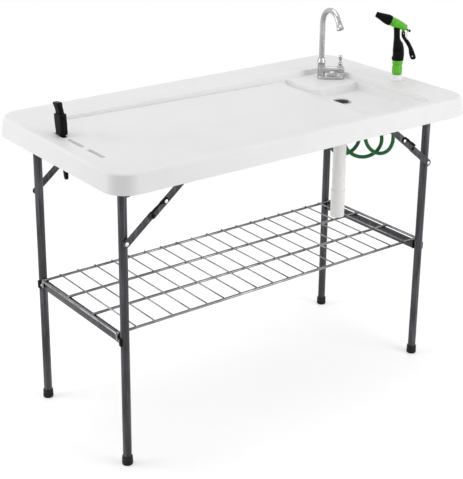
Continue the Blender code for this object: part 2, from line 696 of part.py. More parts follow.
def brace_point(distance):
    """Returns how far in from the leg pivot, and below it, a point along the straight brace is."""
    return distance * cos(BRACE_ANGLE), -BRACE_DROP + distance * sin(BRACE_ANGLE)


def brace_place(side, plane, distance):
    """Returns the world place of a point along a brace."""
    inward, drop = brace_point(distance)
    return (side * (LEG_X - inward), plane, PIVOT_Z + drop)


def along_brace(side, along, across):
    """Turns a step along and across a brace into plane coordinates of its upright plate."""
    a = along * cos(BRACE_ANGLE) - across * sin(BRACE_ANGLE)
    b = along * sin(BRACE_ANGLE) + across * cos(BRACE_ANGLE)
    return (-side * a, b)


def rivet_profile(low, high, head_low, head_high, stem=PIN_RADIUS, head=RIVET_RADIUS, collar=None):
    """Returns the profile of a headed pin from low to high; a collar is its height above low."""
    profile = [(0, high)]
    if head_high:
        profile += [(head * 0.7, high), (head, high - RIVET_HEIGHT * 0.6), (head, high - RIVET_HEIGHT)]
    profile += [(stem, high - RIVET_HEIGHT if head_high else high)]
    if collar:
        profile += [(stem, collar[1]), (collar[2], collar[1]), (collar[2], collar[0]), (stem, collar[0])]
    profile += [(stem, low + RIVET_HEIGHT if head_low else low)]
    if head_low:
        profile += [(head, low + RIVET_HEIGHT), (head, low + RIVET_HEIGHT * 0.4), (head * 0.7, low)]
    return profile + [(0, low)]


def make_lower_link(name, side, face):
    """Models the brace's lower link with the rivet that goes through the leg."""
    place = brace_place(side, face * LOWER_PLANE, 0)
    end = along_brace(side, LOWER_LENGTH, 0)
    link = plate(name, [capsule((0, 0), end, LINK_WIDTH / 2)], LINK_THICKNESS, place=place, material=STEEL)
    low = -(LOWER_PLANE - LEG_Y) - LEG_RADIUS - RIVET_HEIGHT - CLEARANCE
    high = LINK_THICKNESS / 2 + RIVET_HEIGHT
    washer = (-(LOWER_PLANE - LEG_Y) + LEG_RADIUS + CLEARANCE, 0.0, RIVET_RADIUS)
    rivet = turned(name + "_rivet", rivet_profile(low, high, True, True, collar=washer), 8, place=place,
                   turn=outward_turn(face))
    return join(link, rivet)


def make_upper_link(name, side, face):
    """Models the brace's upper link with its rail pin, middle rivet and catch stud."""
    place = brace_place(side, face * UPPER_PLANE, BRACE_LENGTH)
    middle = along_brace(side, -UPPER_LENGTH, 0)
    link = plate(name, [capsule((0, 0), middle, LINK_WIDTH / 2)], LINK_THICKNESS, place=place, material=STEEL)
    out = outward_turn(face)
    half = LINK_THICKNESS / 2
    pin = turned(name + "_pin", rivet_profile(0.0, half + TAB_STANDOFF + RAIL_THICKNESS + 2 * CLEARANCE
                                              + RIVET_HEIGHT, False, True,
                                              collar=(0.0, half + TAB_STANDOFF - CLEARANCE, RIVET_RADIUS)),
                 8, place=place, turn=out)
    foot = -half - RIVET_HEIGHT
    rivet = turned(name + "_rivet", rivet_profile(foot, half + RIVET_HEIGHT, False, True,
                                                  collar=(foot, 0.0, RIVET_RADIUS)), 8,
                   place=brace_place(side, face * UPPER_PLANE, LOWER_LENGTH), turn=out)
    stud = turned(name + "_stud", rivet_profile(0.0, half + CATCH_THICKNESS + 2 * CLEARANCE + RIVET_HEIGHT, False,
                                                True, head=RIVET_RADIUS * 0.9), 8,
                  place=brace_place(side, face * UPPER_PLANE, LOWER_LENGTH + CATCH_FROM_JOINT), turn=out)
    return join(link, pin, rivet, stud)


def make_catch(name, side, face):
    """Models the flat lock catch that lies along the upper edge of the brace's middle joint."""
    edge = LINK_WIDTH / 2
    points = [(0.007, -0.004), (0.009, 0.003), (0.006, edge + 0.0015), (-0.012, edge + 0.003),
              (-0.018, edge + 0.0015), (-CATCH_LENGTH * 0.7, edge + 0.0035), (-CATCH_LENGTH, edge + 0.0035),
              (-CATCH_LENGTH - 0.003, edge + 0.001), (-CATCH_LENGTH + 0.001, edge - 0.003),
              (-0.016, edge - 0.004), (-0.0075, 0.001), (-0.006, -0.005), (0.0, -0.0075)]
    outline = [along_brace(side, a, b) for a, b in points]
    hole = disc((0, 0), PIN_RADIUS + PIN_CLEARANCE, 12)
    return plate(name, [outline, hole], CATCH_THICKNESS, material=BLACK,
                 place=brace_place(side, face * CATCH_PLANE, LOWER_LENGTH + CATCH_FROM_JOINT))


def make_crossbar(name, side):
    """Models the flat-sided tube that joins a pair of legs and carries the rack's end."""
    half = LEG_Y - LEG_RADIUS - CLEARANCE - SADDLE_THICKNESS - CLEARANCE
    outline = centred(CROSSBAR_WIDTH, 2 * half)
    x = side * LEG_X
    bar = block(name, outline, outline, -CROSSBAR_HEIGHT / 2, CROSSBAR_HEIGHT / 2, place=(x, 0, CROSSBAR_Z),
                material=STEEL)
    bevel = bar.modifiers.new("soft_edges", "BEVEL")
    bevel.width = 0.003
    bevel.segments = 2
    bevel.limit_method = "ANGLE"
    return bar


def make_saddle(name, side, face):
    """Models the black hook at a crossbar's end: from the leg's inner side round its outer X side."""
    inner = LEG_RADIUS + CLEARANCE
    outer = inner + SADDLE_THICKNESS
    reach = LEG_RADIUS * 0.85
    sweep = [radians(-90 + 110 * n / 12) for n in range(13)]
    outline = [(-reach, -outer)] + [(outer * cos(a), outer * sin(a)) for a in sweep]
    outline += [(inner * cos(a), inner * sin(a)) for a in reversed(sweep)] + [(-reach, -inner)]
    placed = [(side * b, face * a) for b, a in outline]
    hook = plate(name, [placed], SADDLE_HEIGHT, turn=(0, 0, 0), material=BLACK,
                 place=(side * LEG_X, face * LEG_Y, CROSSBAR_Z))
    middle = (inner + outer) / 2
    out = Vector((side * sqrt(0.5), -face * sqrt(0.5), 0))
    base = Vector((side * LEG_X, face * LEG_Y, CROSSBAR_Z)) + out * middle
    rivet = turned(name + "_rivet", [(0, 0.0032), (0.0022, 0.0030), (0.0032, 0.0020), (0.0032, 0.0), (0, 0.0)], 10,
                   place=base, turn=out.to_track_quat("Z", "Y").to_euler())
    return join(hook, rivet)


def make_rack():
    """Models the wire rack: long rods, cross wires on them, and end rods that hook over the crossbars."""
    rod_z = SHELF_Z + CLEARANCE + ROD_RADIUS
    wire_z = rod_z + ROD_RADIUS + WIRE_RADIUS * 0.3
    half_width = LEG_Y - RACK_FROM_LEG
    end_x = LEG_X + CROSSBAR_WIDTH / 2 + CLEARANCE + ROD_RADIUS
    step = 2 * half_width / (ROD_COUNT - 1)
    long_rods = [((-end_x, -half_width + n * step, rod_z), (end_x, -half_width + n * step, rod_z))
                 for n in range(ROD_COUNT)]
    rack = rods("rack", long_rods, ROD_RADIUS, 6, CHROME)
    pitch = 2 * end_x / (WIRE_COUNT + 1)
    wires = [((-end_x + n * pitch, -half_width - 0.003, wire_z), (-end_x + n * pitch, half_width + 0.003, wire_z))
             for n in range(1, WIRE_COUNT + 1)]
    join(rack, rods("rack_wires", wires, WIRE_RADIUS, 6))
    for side_name, side in SIDES:
        x = side * end_x
        bend = 0.006
        low = rod_z - HOOK_DROP
        half = half_width - bend
        points = [(x, -half - bend, low), (x, -half - bend, rod_z - bend), (x, -half - bend * 0.7, rod_z - bend * 0.3),
                  (x, -half, rod_z), (x, half, rod_z), (x, half + bend * 0.7, rod_z - bend * 0.3),
                  (x, half + bend, rod_z - bend), (x, half + bend, low)]
        join(rack, tube(f"rack_end_{side_name}", points, ROD_RADIUS * 0.97, 1))
    return rack


def make_drain():
    """Models the strainer, its nut, the pipe and the outlet sleeve below it."""
    flange_z = BASIN_Z - DRAIN_FLANGE_HEIGHT + CLEARANCE
    tail = DRAIN_HOLE_RADIUS - 2 * CLEARANCE
    bore = tail - 0.0022
    pipe_top = BASIN_UNDERSIDE - PIPE_TOP_BELOW_FLOOR
    nut_top = BASIN_UNDERSIDE - CLEARANCE
    nut_height = 0.012
    strainer = turned("drain_strainer", [
        (0, flange_z + 0.0010), (bore + 0.002, flange_z + 0.0010), (DRAIN_FLANGE_RADIUS - 0.002, flange_z + 0.0026),
        (DRAIN_FLANGE_RADIUS, flange_z + 0.0012), (DRAIN_FLANGE_RADIUS, flange_z), (tail, flange_z),
        (tail, pipe_top + CLEARANCE), (bore, pipe_top + CLEARANCE), (bore, flange_z - 0.0012), (0, flange_z - 0.0012)],
        28, place=(DRAIN_X, DRAIN_Y, 0), material=ZINC)
    holes = []
    for ring, count in ((0.0055, 6), (0.0115, 10)):
        for n in range(count):
            angle = 2 * pi * n / count
            x, y = DRAIN_X + ring * cos(angle), DRAIN_Y + ring * sin(angle)
            holes.append(((x, y, flange_z - 0.01), (x, y, flange_z + 0.01)))
    cut(strainer, rods("strainer_holes", holes, 0.0020, 6))
    turned("drain_locknut", [
        (tail + CLEARANCE, nut_top), (tail + 0.007, nut_top), (tail + 0.008, nut_top - 0.002),
        (tail + 0.008, nut_top - nut_height), (tail + CLEARANCE, nut_top - nut_height)],
        28, place=(DRAIN_X, DRAIN_Y, 0), material=WHITE)
    pipe_inner = PIPE_RADIUS - PIPE_WALL
    pipe_foot = pipe_top - PIPE_LENGTH
    turned("drain_pipe", [
        (pipe_inner, pipe_top), (PIPE_RADIUS, pipe_top), (PIPE_RADIUS, pipe_foot), (pipe_inner, pipe_foot)],
        24, place=(DRAIN_X, DRAIN_Y, 0), material=DRAIN_WHITE)
    sleeve_inner = PIPE_RADIUS + CLEARANCE
    sleeve_top = pipe_foot + OUTLET_OVERLAP
    sleeve_wall = max(OUTLET_RADIUS - sleeve_inner, 0.0012)
    turned("drain_outlet", [
        (sleeve_inner, sleeve_top), (sleeve_inner + sleeve_wall, sleeve_top),
        (sleeve_inner + sleeve_wall, sleeve_top - OUTLET_LENGTH), (pipe_inner, sleeve_top - OUTLET_LENGTH),
        (pipe_inner, pipe_foot - CLEARANCE), (sleeve_inner, pipe_foot - CLEARANCE)],
        24, place=(DRAIN_X, DRAIN_Y, 0), material=DRAIN_WHITE)


def make_tap():
    """Models the tap on its ledge, from the base plate to the hose adapter under the deck."""
    seat = LEDGE_Z + CLEARANCE
    turn = (0, 0, TAP_ANGLE)
    outline = (BASE_SHIFT - BASE_LENGTH / 2, BASE_SHIFT + BASE_LENGTH / 2, -BASE_WIDTH / 2, BASE_WIDTH / 2)
    base_top = seat + BASE_HEIGHT
    base = block("tap_base_plate", outline, outline, seat, base_top, corner=BASE_WIDTH / 2 - 0.0005,
                 corner_steps=6, top_round=0.003, place=(TAP_X, TAP_Y, 0), turn=turn, material=CHROME)
    shank_hole = rods("base_hole", [((TAP_X, TAP_Y, seat - 0.01), (TAP_X, TAP_Y, base_top + 0.01))],
                      SHANK_RADIUS + CLEARANCE * 2, 20)
    cut(base, shank_hole)
    bridge_top = seat + BRIDGE_HEIGHT
    body_z = base_top + CLEARANCE
    bridge_foot = bridge_top - 0.017
    bridge_outline = (-SPOUT_OFFSET - 0.009, LEVER_OFFSET + 0.013, -0.0105, 0.0105)
    body = block("tap_body", bridge_outline, bridge_outline, bridge_foot, bridge_top, corner=0.0095, corner_steps=5,
                 top_round=0.004, foot_round=0.004, place=(TAP_X, TAP_Y, 0), turn=turn, material=CHROME)
    hexagon = rods("tap_hexagon", [((TAP_X, TAP_Y, body_z), (TAP_X, TAP_Y, bridge_foot + 0.003))], 0.0165, 6)
    shank_foot = BASIN_UNDERSIDE - 0.022
    shank = rods("tap_shank", [((TAP_X, TAP_Y, shank_foot), (TAP_X, TAP_Y, bridge_foot + 0.002))], SHANK_RADIUS, 18)
    collar_z = seat + BRIDGE_HEIGHT + 0.013
    socket = rods("tap_socket", [((SPOUT_X, SPOUT_Y, body_z), (SPOUT_X, SPOUT_Y, collar_z))], 0.0108, 20)
    valve_top = bridge_top + 0.004
    valve = rods("tap_valve", [((LEVER_X, LEVER_Y, bridge_foot), (LEVER_X, LEVER_Y, valve_top))], 0.0088, 18)
    join(body, hexagon, shank, socket, valve)
    collar_top = collar_z + CLEARANCE + COLLAR_HEIGHT
    bore = SPOUT_RADIUS + CLEARANCE
    turned("tap_collar", [
        (bore, collar_top), (bore + 0.0012, collar_top), (bore + 0.0024, collar_z + COLLAR_HEIGHT * 0.55),
        (0.0124, collar_z + COLLAR_HEIGHT * 0.3), (0.0124, collar_z + CLEARANCE), (bore, collar_z + CLEARANCE)],
        20, place=(SPOUT_X, SPOUT_Y, 0), material=CHROME)
    make_spout(collar_z + 2 * CLEARANCE, seat + SPOUT_RISE)
    stem = 0.0034
    ball = [(LEVER_BALL * cos(radians(a)), LEVER_BALL * (1 + sin(radians(a)))) for a in (30, 0, -30, -60)]
    turned("tap_lever", [
        (0, LEVER_HEIGHT), (0.0030, LEVER_HEIGHT - 0.0006), (0.0052, LEVER_HEIGHT - 0.004),
        (0.0054, LEVER_HEIGHT - 0.009), (stem, LEVER_HEIGHT - 0.016), (stem, LEVER_BALL + sqrt(LEVER_BALL ** 2
         - stem ** 2)), *ball, (0, 0)], 16, place=(LEVER_X, LEVER_Y, valve_top + CLEARANCE), material=CHROME)
    nut_top = BASIN_UNDERSIDE - CLEARANCE
    turned("tap_locknut", [
        (SHANK_RADIUS + CLEARANCE, nut_top), (0.0165, nut_top), (0.0165, nut_top - 0.009),
        (SHANK_RADIUS + CLEARANCE, nut_top - 0.009)], 24, place=(TAP_X, TAP_Y, 0), material=BLACK)
    adapter_top = nut_top - 0.009 - CLEARANCE
    adapter_foot = adapter_top - ADAPTER_HEIGHT
    adapter = turned("hose_adapter", [
        (SHANK_RADIUS + CLEARANCE, adapter_top), (ADAPTER_RADIUS, adapter_top), (ADAPTER_RADIUS, adapter_foot),
        (0, adapter_foot), (0, shank_foot - CLEARANCE), (SHANK_RADIUS + CLEARANCE, shank_foot - CLEARANCE)],
        20, place=(TAP_X, TAP_Y, 0), material=BLACK)
    inlet_z = adapter_foot + ADAPTER_HEIGHT * 0.29
    inlet = turned("supply_inlet", [
        (0, 0.030), (0.0040, 0.030), (0.0062, 0.0280), (0.0062, 0.024), (0.0050, 0.023), (0.0050, 0.019),
        (0.0078, 0.018), (0.0078, 0.0), (0, 0)], 16, place=(TAP_X, TAP_Y, inlet_z), turn=(-pi / 2, 0, 0))
    join(adapter, inlet)
    return adapter_foot


def make_spout(foot, top):
    """Models the swivelling spout and the nozzle on its end."""
    spring = top - SPOUT_ARCH_RADIUS
    points = [(0, 0, foot), (0, 0, (foot + spring) / 2)]
    steps = 14
    for n in range(steps + 1):
        angle = radians(SPOUT_ARCH_ANGLE) * n / steps
        points.append((SPOUT_ARCH_RADIUS * (1 - cos(angle)), 0, spring + SPOUT_ARCH_RADIUS * sin(angle)))
    to_world = Matrix.Rotation(radians(SPOUT_TURN), 3, "Z")
    heading = (Vector(points[-1]) - Vector(points[-2])).normalized()
    points.append(tuple(Vector(points[-1]) + heading * 0.005))
    tube("tap_spout", points, SPOUT_RADIUS, 4, place=(SPOUT_X, SPOUT_Y, 0), turn=(0, 0, radians(SPOUT_TURN)),
         material=CHROME)
    start = to_world @ (Vector(points[-1]) + heading * CLEARANCE)
    tilt = (to_world @ heading).to_track_quat("Z", "Y").to_euler()
    turned("tap_nozzle", [
        (0, NOZZLE_LENGTH - 0.003), (NOZZLE_RADIUS - 0.002, NOZZLE_LENGTH - 0.003), (NOZZLE_RADIUS - 0.0015,
         NOZZLE_LENGTH), (NOZZLE_RADIUS, NOZZLE_LENGTH), (NOZZLE_RADIUS, NOZZLE_LENGTH * 0.75),
        (SPOUT_RADIUS + 0.0006, NOZZLE_LENGTH * 0.3), (SPOUT_RADIUS, 0), (0, 0)],
        20, place=(SPOUT_X + start.x, SPOUT_Y + start.y, start.z), turn=tilt, material=CHROME)


def make_sprayer():
    """Models the socket in the rim and the hand sprayer that stands in it."""
    place = (SPRAYER_X, SPRAYER_Y, 0)
    turn = (0, 0, radians(SPRAYER_TURN))
    rim = TABLE_HEIGHT + CLEARANCE
    turned("sprayer_socket", [
        (SOCKET_BORE, SOCKET_TOP), (SOCKET_TOP_RADIUS, SOCKET_TOP), (SOCKET_TOP_RADIUS + 0.0015, rim + 0.004),
        (SOCKET_RADIUS, rim + 0.002), (SOCKET_RADIUS, rim), (SOCKET_HOLE, rim),
        (SOCKET_HOLE, TABLE_HEIGHT - SHELL_WALL - 0.008), (SOCKET_BORE, TABLE_HEIGHT - SHELL_WALL - 0.008)],
        24, place=place, turn=turn, material=WHITE)
    foot = SOCKET_TOP + CLEARANCE
    ring_z = foot + CONNECTOR_HEIGHT
    r = CONNECTOR_RADIUS
    turned("hose_connector", [
        (0, ring_z - CLEARANCE), (r * 0.92, ring_z - CLEARANCE), (r * 0.96, ring_z - 0.003), (r * 0.90, ring_z - 0.005),
        (r * 0.96, ring_z - 0.008), (r, foot + 0.010), (r, foot + 0.004), (r * 0.86, foot), (0, foot)],
        24, place=place, turn=turn, material=BRIGHT_GREEN)
    grip_foot = ring_z + RING_HEIGHT
    turned("connector_ring", [
        (0, grip_foot - CLEARANCE), (r * 0.98, grip_foot - CLEARANCE), (r * 1.03, grip_foot - 0.002),
        (r * 1.03, ring_z + 0.001), (r * 0.97, ring_z), (0, ring_z)],
        24, place=place, turn=turn, material=BRIGHT_GREEN)
    make_grip(grip_foot, place, turn)
    make_barrel(grip_foot, place, turn)


def barrel_line(grip_foot, distance):
    """Returns a point on the barrel's axis, forward of and above the grip's foot."""
    angle = radians(BARREL_RISE_ANGLE)
    rear_x, rear_z = -0.0200, grip_foot + 0.0935
    return rear_x + distance * cos(angle), rear_z + distance * sin(angle)


def make_grip(foot, place, turn):
    """Models the moulded grip, deepest at its foot and slim under the barrel."""
    sections = ((0.0, 0.0004, 0.0167, 0.0150), (0.004, 0.0004, 0.0167, 0.0150), (0.014, -0.0009, 0.0156, 0.0142),
                (0.029, -0.0002, 0.0156, 0.0140), (0.039, 0.0004, 0.0145, 0.0134), (0.049, 0.0020, 0.0128, 0.0126),
                (0.063, 0.0054, 0.0090, 0.0112), (0.078, 0.0065, 0.0085, 0.0102),
                (GRIP_HEIGHT, 0.0074, 0.0090, 0.0100))
    rings = [oval_ring(centre, foot + height, half_x, half_y, power=2.5, count=20)
             for height, centre, half_x, half_y in sections]
    grip = loft("sprayer_grip", rings, place=place, turn=turn, material=BLACK)
    x, z = barrel_line(foot, 0.0)
    room = turned("grip_top_cut", [(0, 0.08), (BARREL_RADIUS + CLEARANCE, 0.08),
                                   (BARREL_RADIUS + CLEARANCE, BARREL_LENGTH), (BARREL_RADIUS + CLEARANCE,
                                    BARREL_LENGTH * 0.7), (barrel_rear_radius() + 2 * CLEARANCE, -0.002),
                                   (barrel_rear_radius() + 2 * CLEARANCE, -0.02), (0, -0.02)], 24)
    room.parent = grip
    room.location = (x, 0, z)
    room.rotation_euler = (0, pi / 2 - radians(BARREL_RISE_ANGLE), 0)
    return cut(grip, room)


def barrel_rear_radius():
    """Returns the barrel's radius at its rear end."""
    return BARREL_RADIUS * 0.66


def make_barrel(grip_foot, place, turn):
    """Models the barrel, the turning bezel, the flow knob, the trigger, its pin and its lock clip."""
    angle = radians(BARREL_RISE_ANGLE)
    ahead = Vector((cos(radians(SPRAYER_TURN)), sin(radians(SPRAYER_TURN)), 0))
    heading = ahead * cos(angle) + Vector((0, 0, sin(angle)))
    tilt = heading.to_track_quat("Z", "Y").to_euler()
    rear_x, rear_z = barrel_line(grip_foot, 0.0)
    rear = Vector((SPRAYER_X, SPRAYER_Y, rear_z)) + ahead * rear_x
    r, end = BARREL_RADIUS, barrel_rear_radius()
    barrel = turned("sprayer_barrel", [
        (0, BARREL_LENGTH), (r * 0.96, BARREL_LENGTH), (r, BARREL_LENGTH - 0.0015), (r, BARREL_LENGTH * 0.72),
        (end, 0.002), (end * 0.85, 0), (0, 0)], 24, place=rear, turn=tilt, material=BRIGHT_GREEN)
    pivot = (TRIGGER_PIVOT[0], grip_foot + TRIGGER_PIVOT[1])
    lug = plate("trigger_lug", [capsule(pivot, (pivot[0] + 0.002, pivot[1] + 0.012), 0.0040, 6)], 0.0050,
                place=place, turn=(pi / 2, 0, radians(SPRAYER_TURN)))
    pin_room = rods("lug_hole", [((pivot[0], -0.02, pivot[1]), (pivot[0], 0.02, pivot[1]))], 0.0020, 12)
    pin_room.location = place
    pin_room.rotation_euler = turn
    cut(join(barrel, lug), pin_room)
    b, tip = BEZEL_LENGTH, BEZEL_TIP_RADIUS
    turned("sprayer_bezel", [
        (0, b - 0.003), (tip * 0.72, b - 0.003), (tip * 0.86, b), (tip, b - 0.0015), (tip * 1.10, b * 0.80),
        (r * 0.98, b * 0.45), (r * 1.10, b * 0.25), (r * 1.11, b * 0.10), (r * 1.03, 0), (0, 0)],
        24, place=rear + heading * (BARREL_LENGTH + CLEARANCE), turn=tilt, material=BLACK)
    down = ahead * sin(angle) - Vector((0, 0, cos(angle)))
    knob = KNOB_RADIUS
    turned("flow_knob", [
        (0, 0), (knob * 0.5, 0), (knob * 0.5, -0.0052), (knob * 0.92, -0.0052), (knob, -0.0062),
        (knob, -0.0130), (knob * 0.8, -0.0142), (0, -0.0142)],
        12, place=rear - heading * CLEARANCE + down * KNOB_DROP, turn=tilt, material=BLACK)
    make_trigger(pivot, place, turn, ahead)


def make_trigger(pivot, place, turn, ahead):
    """Models the trigger, a fork over the barrel's lug, with its pin and the wire lock clip."""
    px, pz = pivot
    outline = [(0.0050, 0.0), (0.0042, 0.0030), (0.0, 0.0050), (-0.0036, 0.0036), (-0.0052, 0.0),
               (-0.0056, -0.0114), (-0.0168, -0.0227), (-0.0270, -0.0398), (-0.0336, -0.0541), (-0.0385, -0.0668),
               (-0.0388, -0.0722), (-0.0365, -0.0758), (-0.0295, -0.0768), (-0.0240, -0.0735), (-0.0192, -0.0587),
               (-0.0176, -0.0472), (-0.0094, -0.0315), (0.0036, -0.0130)]
    outline = [(px + a, pz + b) for a, b in outline]
    eye = disc((px - 0.0295, pz - 0.0681), 0.0024, 10)
    clip_x, clip_z = CLIP_PIVOT[0], pz - TRIGGER_PIVOT[1] + CLIP_PIVOT[1]
    clip_eye = disc((clip_x, clip_z), 0.0012, 8)
    trigger = plate("sprayer_trigger", [outline, eye, clip_eye], TRIGGER_WIDTH, place=place,
                    turn=(pi / 2, 0, radians(SPRAYER_TURN)), material=BLACK)
    slot = (px - 0.012, px + 0.012, -0.0030, 0.0030)
    slot_cut = block("trigger_slot", slot, slot, pz - 0.0062, pz + 0.012, place=place, turn=turn)
    pin_cut = rods("trigger_pin_hole", [((px, -0.02, pz), (px, 0.02, pz))], 0.0020, 12)
    pin_cut.location = place
    pin_cut.rotation_euler = turn
    cut(trigger, slot_cut, pin_cut)
    half = TRIGGER_WIDTH / 2
    pin = rods("trigger_pin", [((0, -half - 0.0008, 0), (0, half + 0.0008, 0))], 0.0016, 12, ZINC)
    pin.location = Vector(place) + ahead * px + Vector((0, 0, pz))
    pin.rotation_euler = turn
    w = half + 0.0013
    top_x, top_z = -0.0042, 0.0320
    corner = 0.002
    one_side = [(0, half - 0.0030, 0), (0, w - 0.0006, 0), (top_x * 0.05, w, 0.0008),
                (top_x * 0.92, w, top_z - corner), (top_x, w - corner, top_z)]
    points = [(x, -y, z) for x, y, z in one_side] + list(reversed(one_side))
    clip = tube("trigger_lock_clip", points, 0.0007, 1, turn=turn, material=ZINC)
    clip.location = Vector(place) + ahead * clip_x + Vector((0, 0, clip_z))


def hose_route(start, end):
    """Returns the curly hose's points: down from the socket, through its loops, up to the adapter.

    The loops stand in the upright plane of the tap's long side and step sideways and backwards from
    the socket to the adapter, so that each strand passes behind the one before it.
    """
    start, end = Vector(start), Vector(end)
    across = Vector((cos(TAP_ANGLE), sin(TAP_ANGLE), 0))
    depth = Vector((-sin(TAP_ANGLE), cos(TAP_ANGLE), 0))
    span, recede = (end - start).dot(across), (end - start).dot(depth)
    end_radius = CURL_RADIUS * CURL_END_SHARE
    high = TABLE_HEIGHT - CURL_BELOW_TOP
    points = [start + Vector((0, 0, (high - start.z) * n / 8)) for n in range(8)]
    steps = ceil(CURL_TURNS * CURL_POINTS)
    for n in range(steps + 1):
        share = n / steps
        angle = 2 * pi * CURL_TURNS * share
        radius = CURL_RADIUS - (CURL_RADIUS - end_radius) * (2 * share - 1) ** 2
        tall = CURL_HEIGHT * (1 - 0.2 * (2 * share - 1) ** 2)
        middle = -end_radius + (span + 2 * end_radius) * share + 0.006 * sin(pi * share)
        height = high - CURL_FALL * share - 0.006 * sin(pi * share)
        points.append(Vector((start.x, start.y, 0)) + across * (middle + radius * cos(angle))
                      + depth * recede * share + Vector((0, 0, height - tall * sin(angle))))
    low = points[-1].z
    points += [Vector((end.x, end.y, low + (end.z - low) * n / 6)) for n in range(1, 7)]
    return points


def least_gap(points, radius, apart):
    """Measures the least space between two stretches of a tube that are some way apart on it."""
    lengths = [0.0]
    for first, second in zip(points, points[1:]):
        lengths.append(lengths[-1] + (second - first).length)
    best = None
    for i, first in enumerate(points):
        for j in range(i + 1, len(points)):
            if lengths[j] - lengths[i] < apart:
                continue
            gap = (points[j] - first).length - 2 * radius
            best = gap if best is None else min(best, gap)
    return best, lengths[-1]


def make_coil_hose(adapter_foot):
    """Models the green curly hose as one unbroken tube and prints its length and least gap."""
    start = (SPRAYER_X, SPRAYER_Y, SOCKET_TOP - CLEARANCE)
    end = (TAP_X, TAP_Y, adapter_foot - CLEARANCE)
    points = hose_route(start, end)
    curve = tube_curve("coil_hose", points, HOSE_RADIUS, HOSE_SIDES)
    hose = bpy.data.objects.new("coil_hose", curve)
    PARTS.objects.link(hose)
    curve.materials.append(HOSE_GREEN)
    gap, length = least_gap(points, HOSE_RADIUS, 6 * HOSE_RADIUS)
    print(f"curly hose: {length:.3f} m long, least gap to itself {gap * 1000:.2f} mm")
    return hose


def blade_half(height):
    """Returns half the blade's width at a height on it."""
    return HANDLE_WIDTH * 0.38 + (HANDLE_WIDTH * 0.22) * height / SCABBARD_LENGTH


def blade_slot(height):
    """Returns the room that the sheath leaves round the blade at a height."""
    return centred(BLADE_THICKNESS + 4 * CLEARANCE, 2 * blade_half(height) + 4 * CLEARANCE)


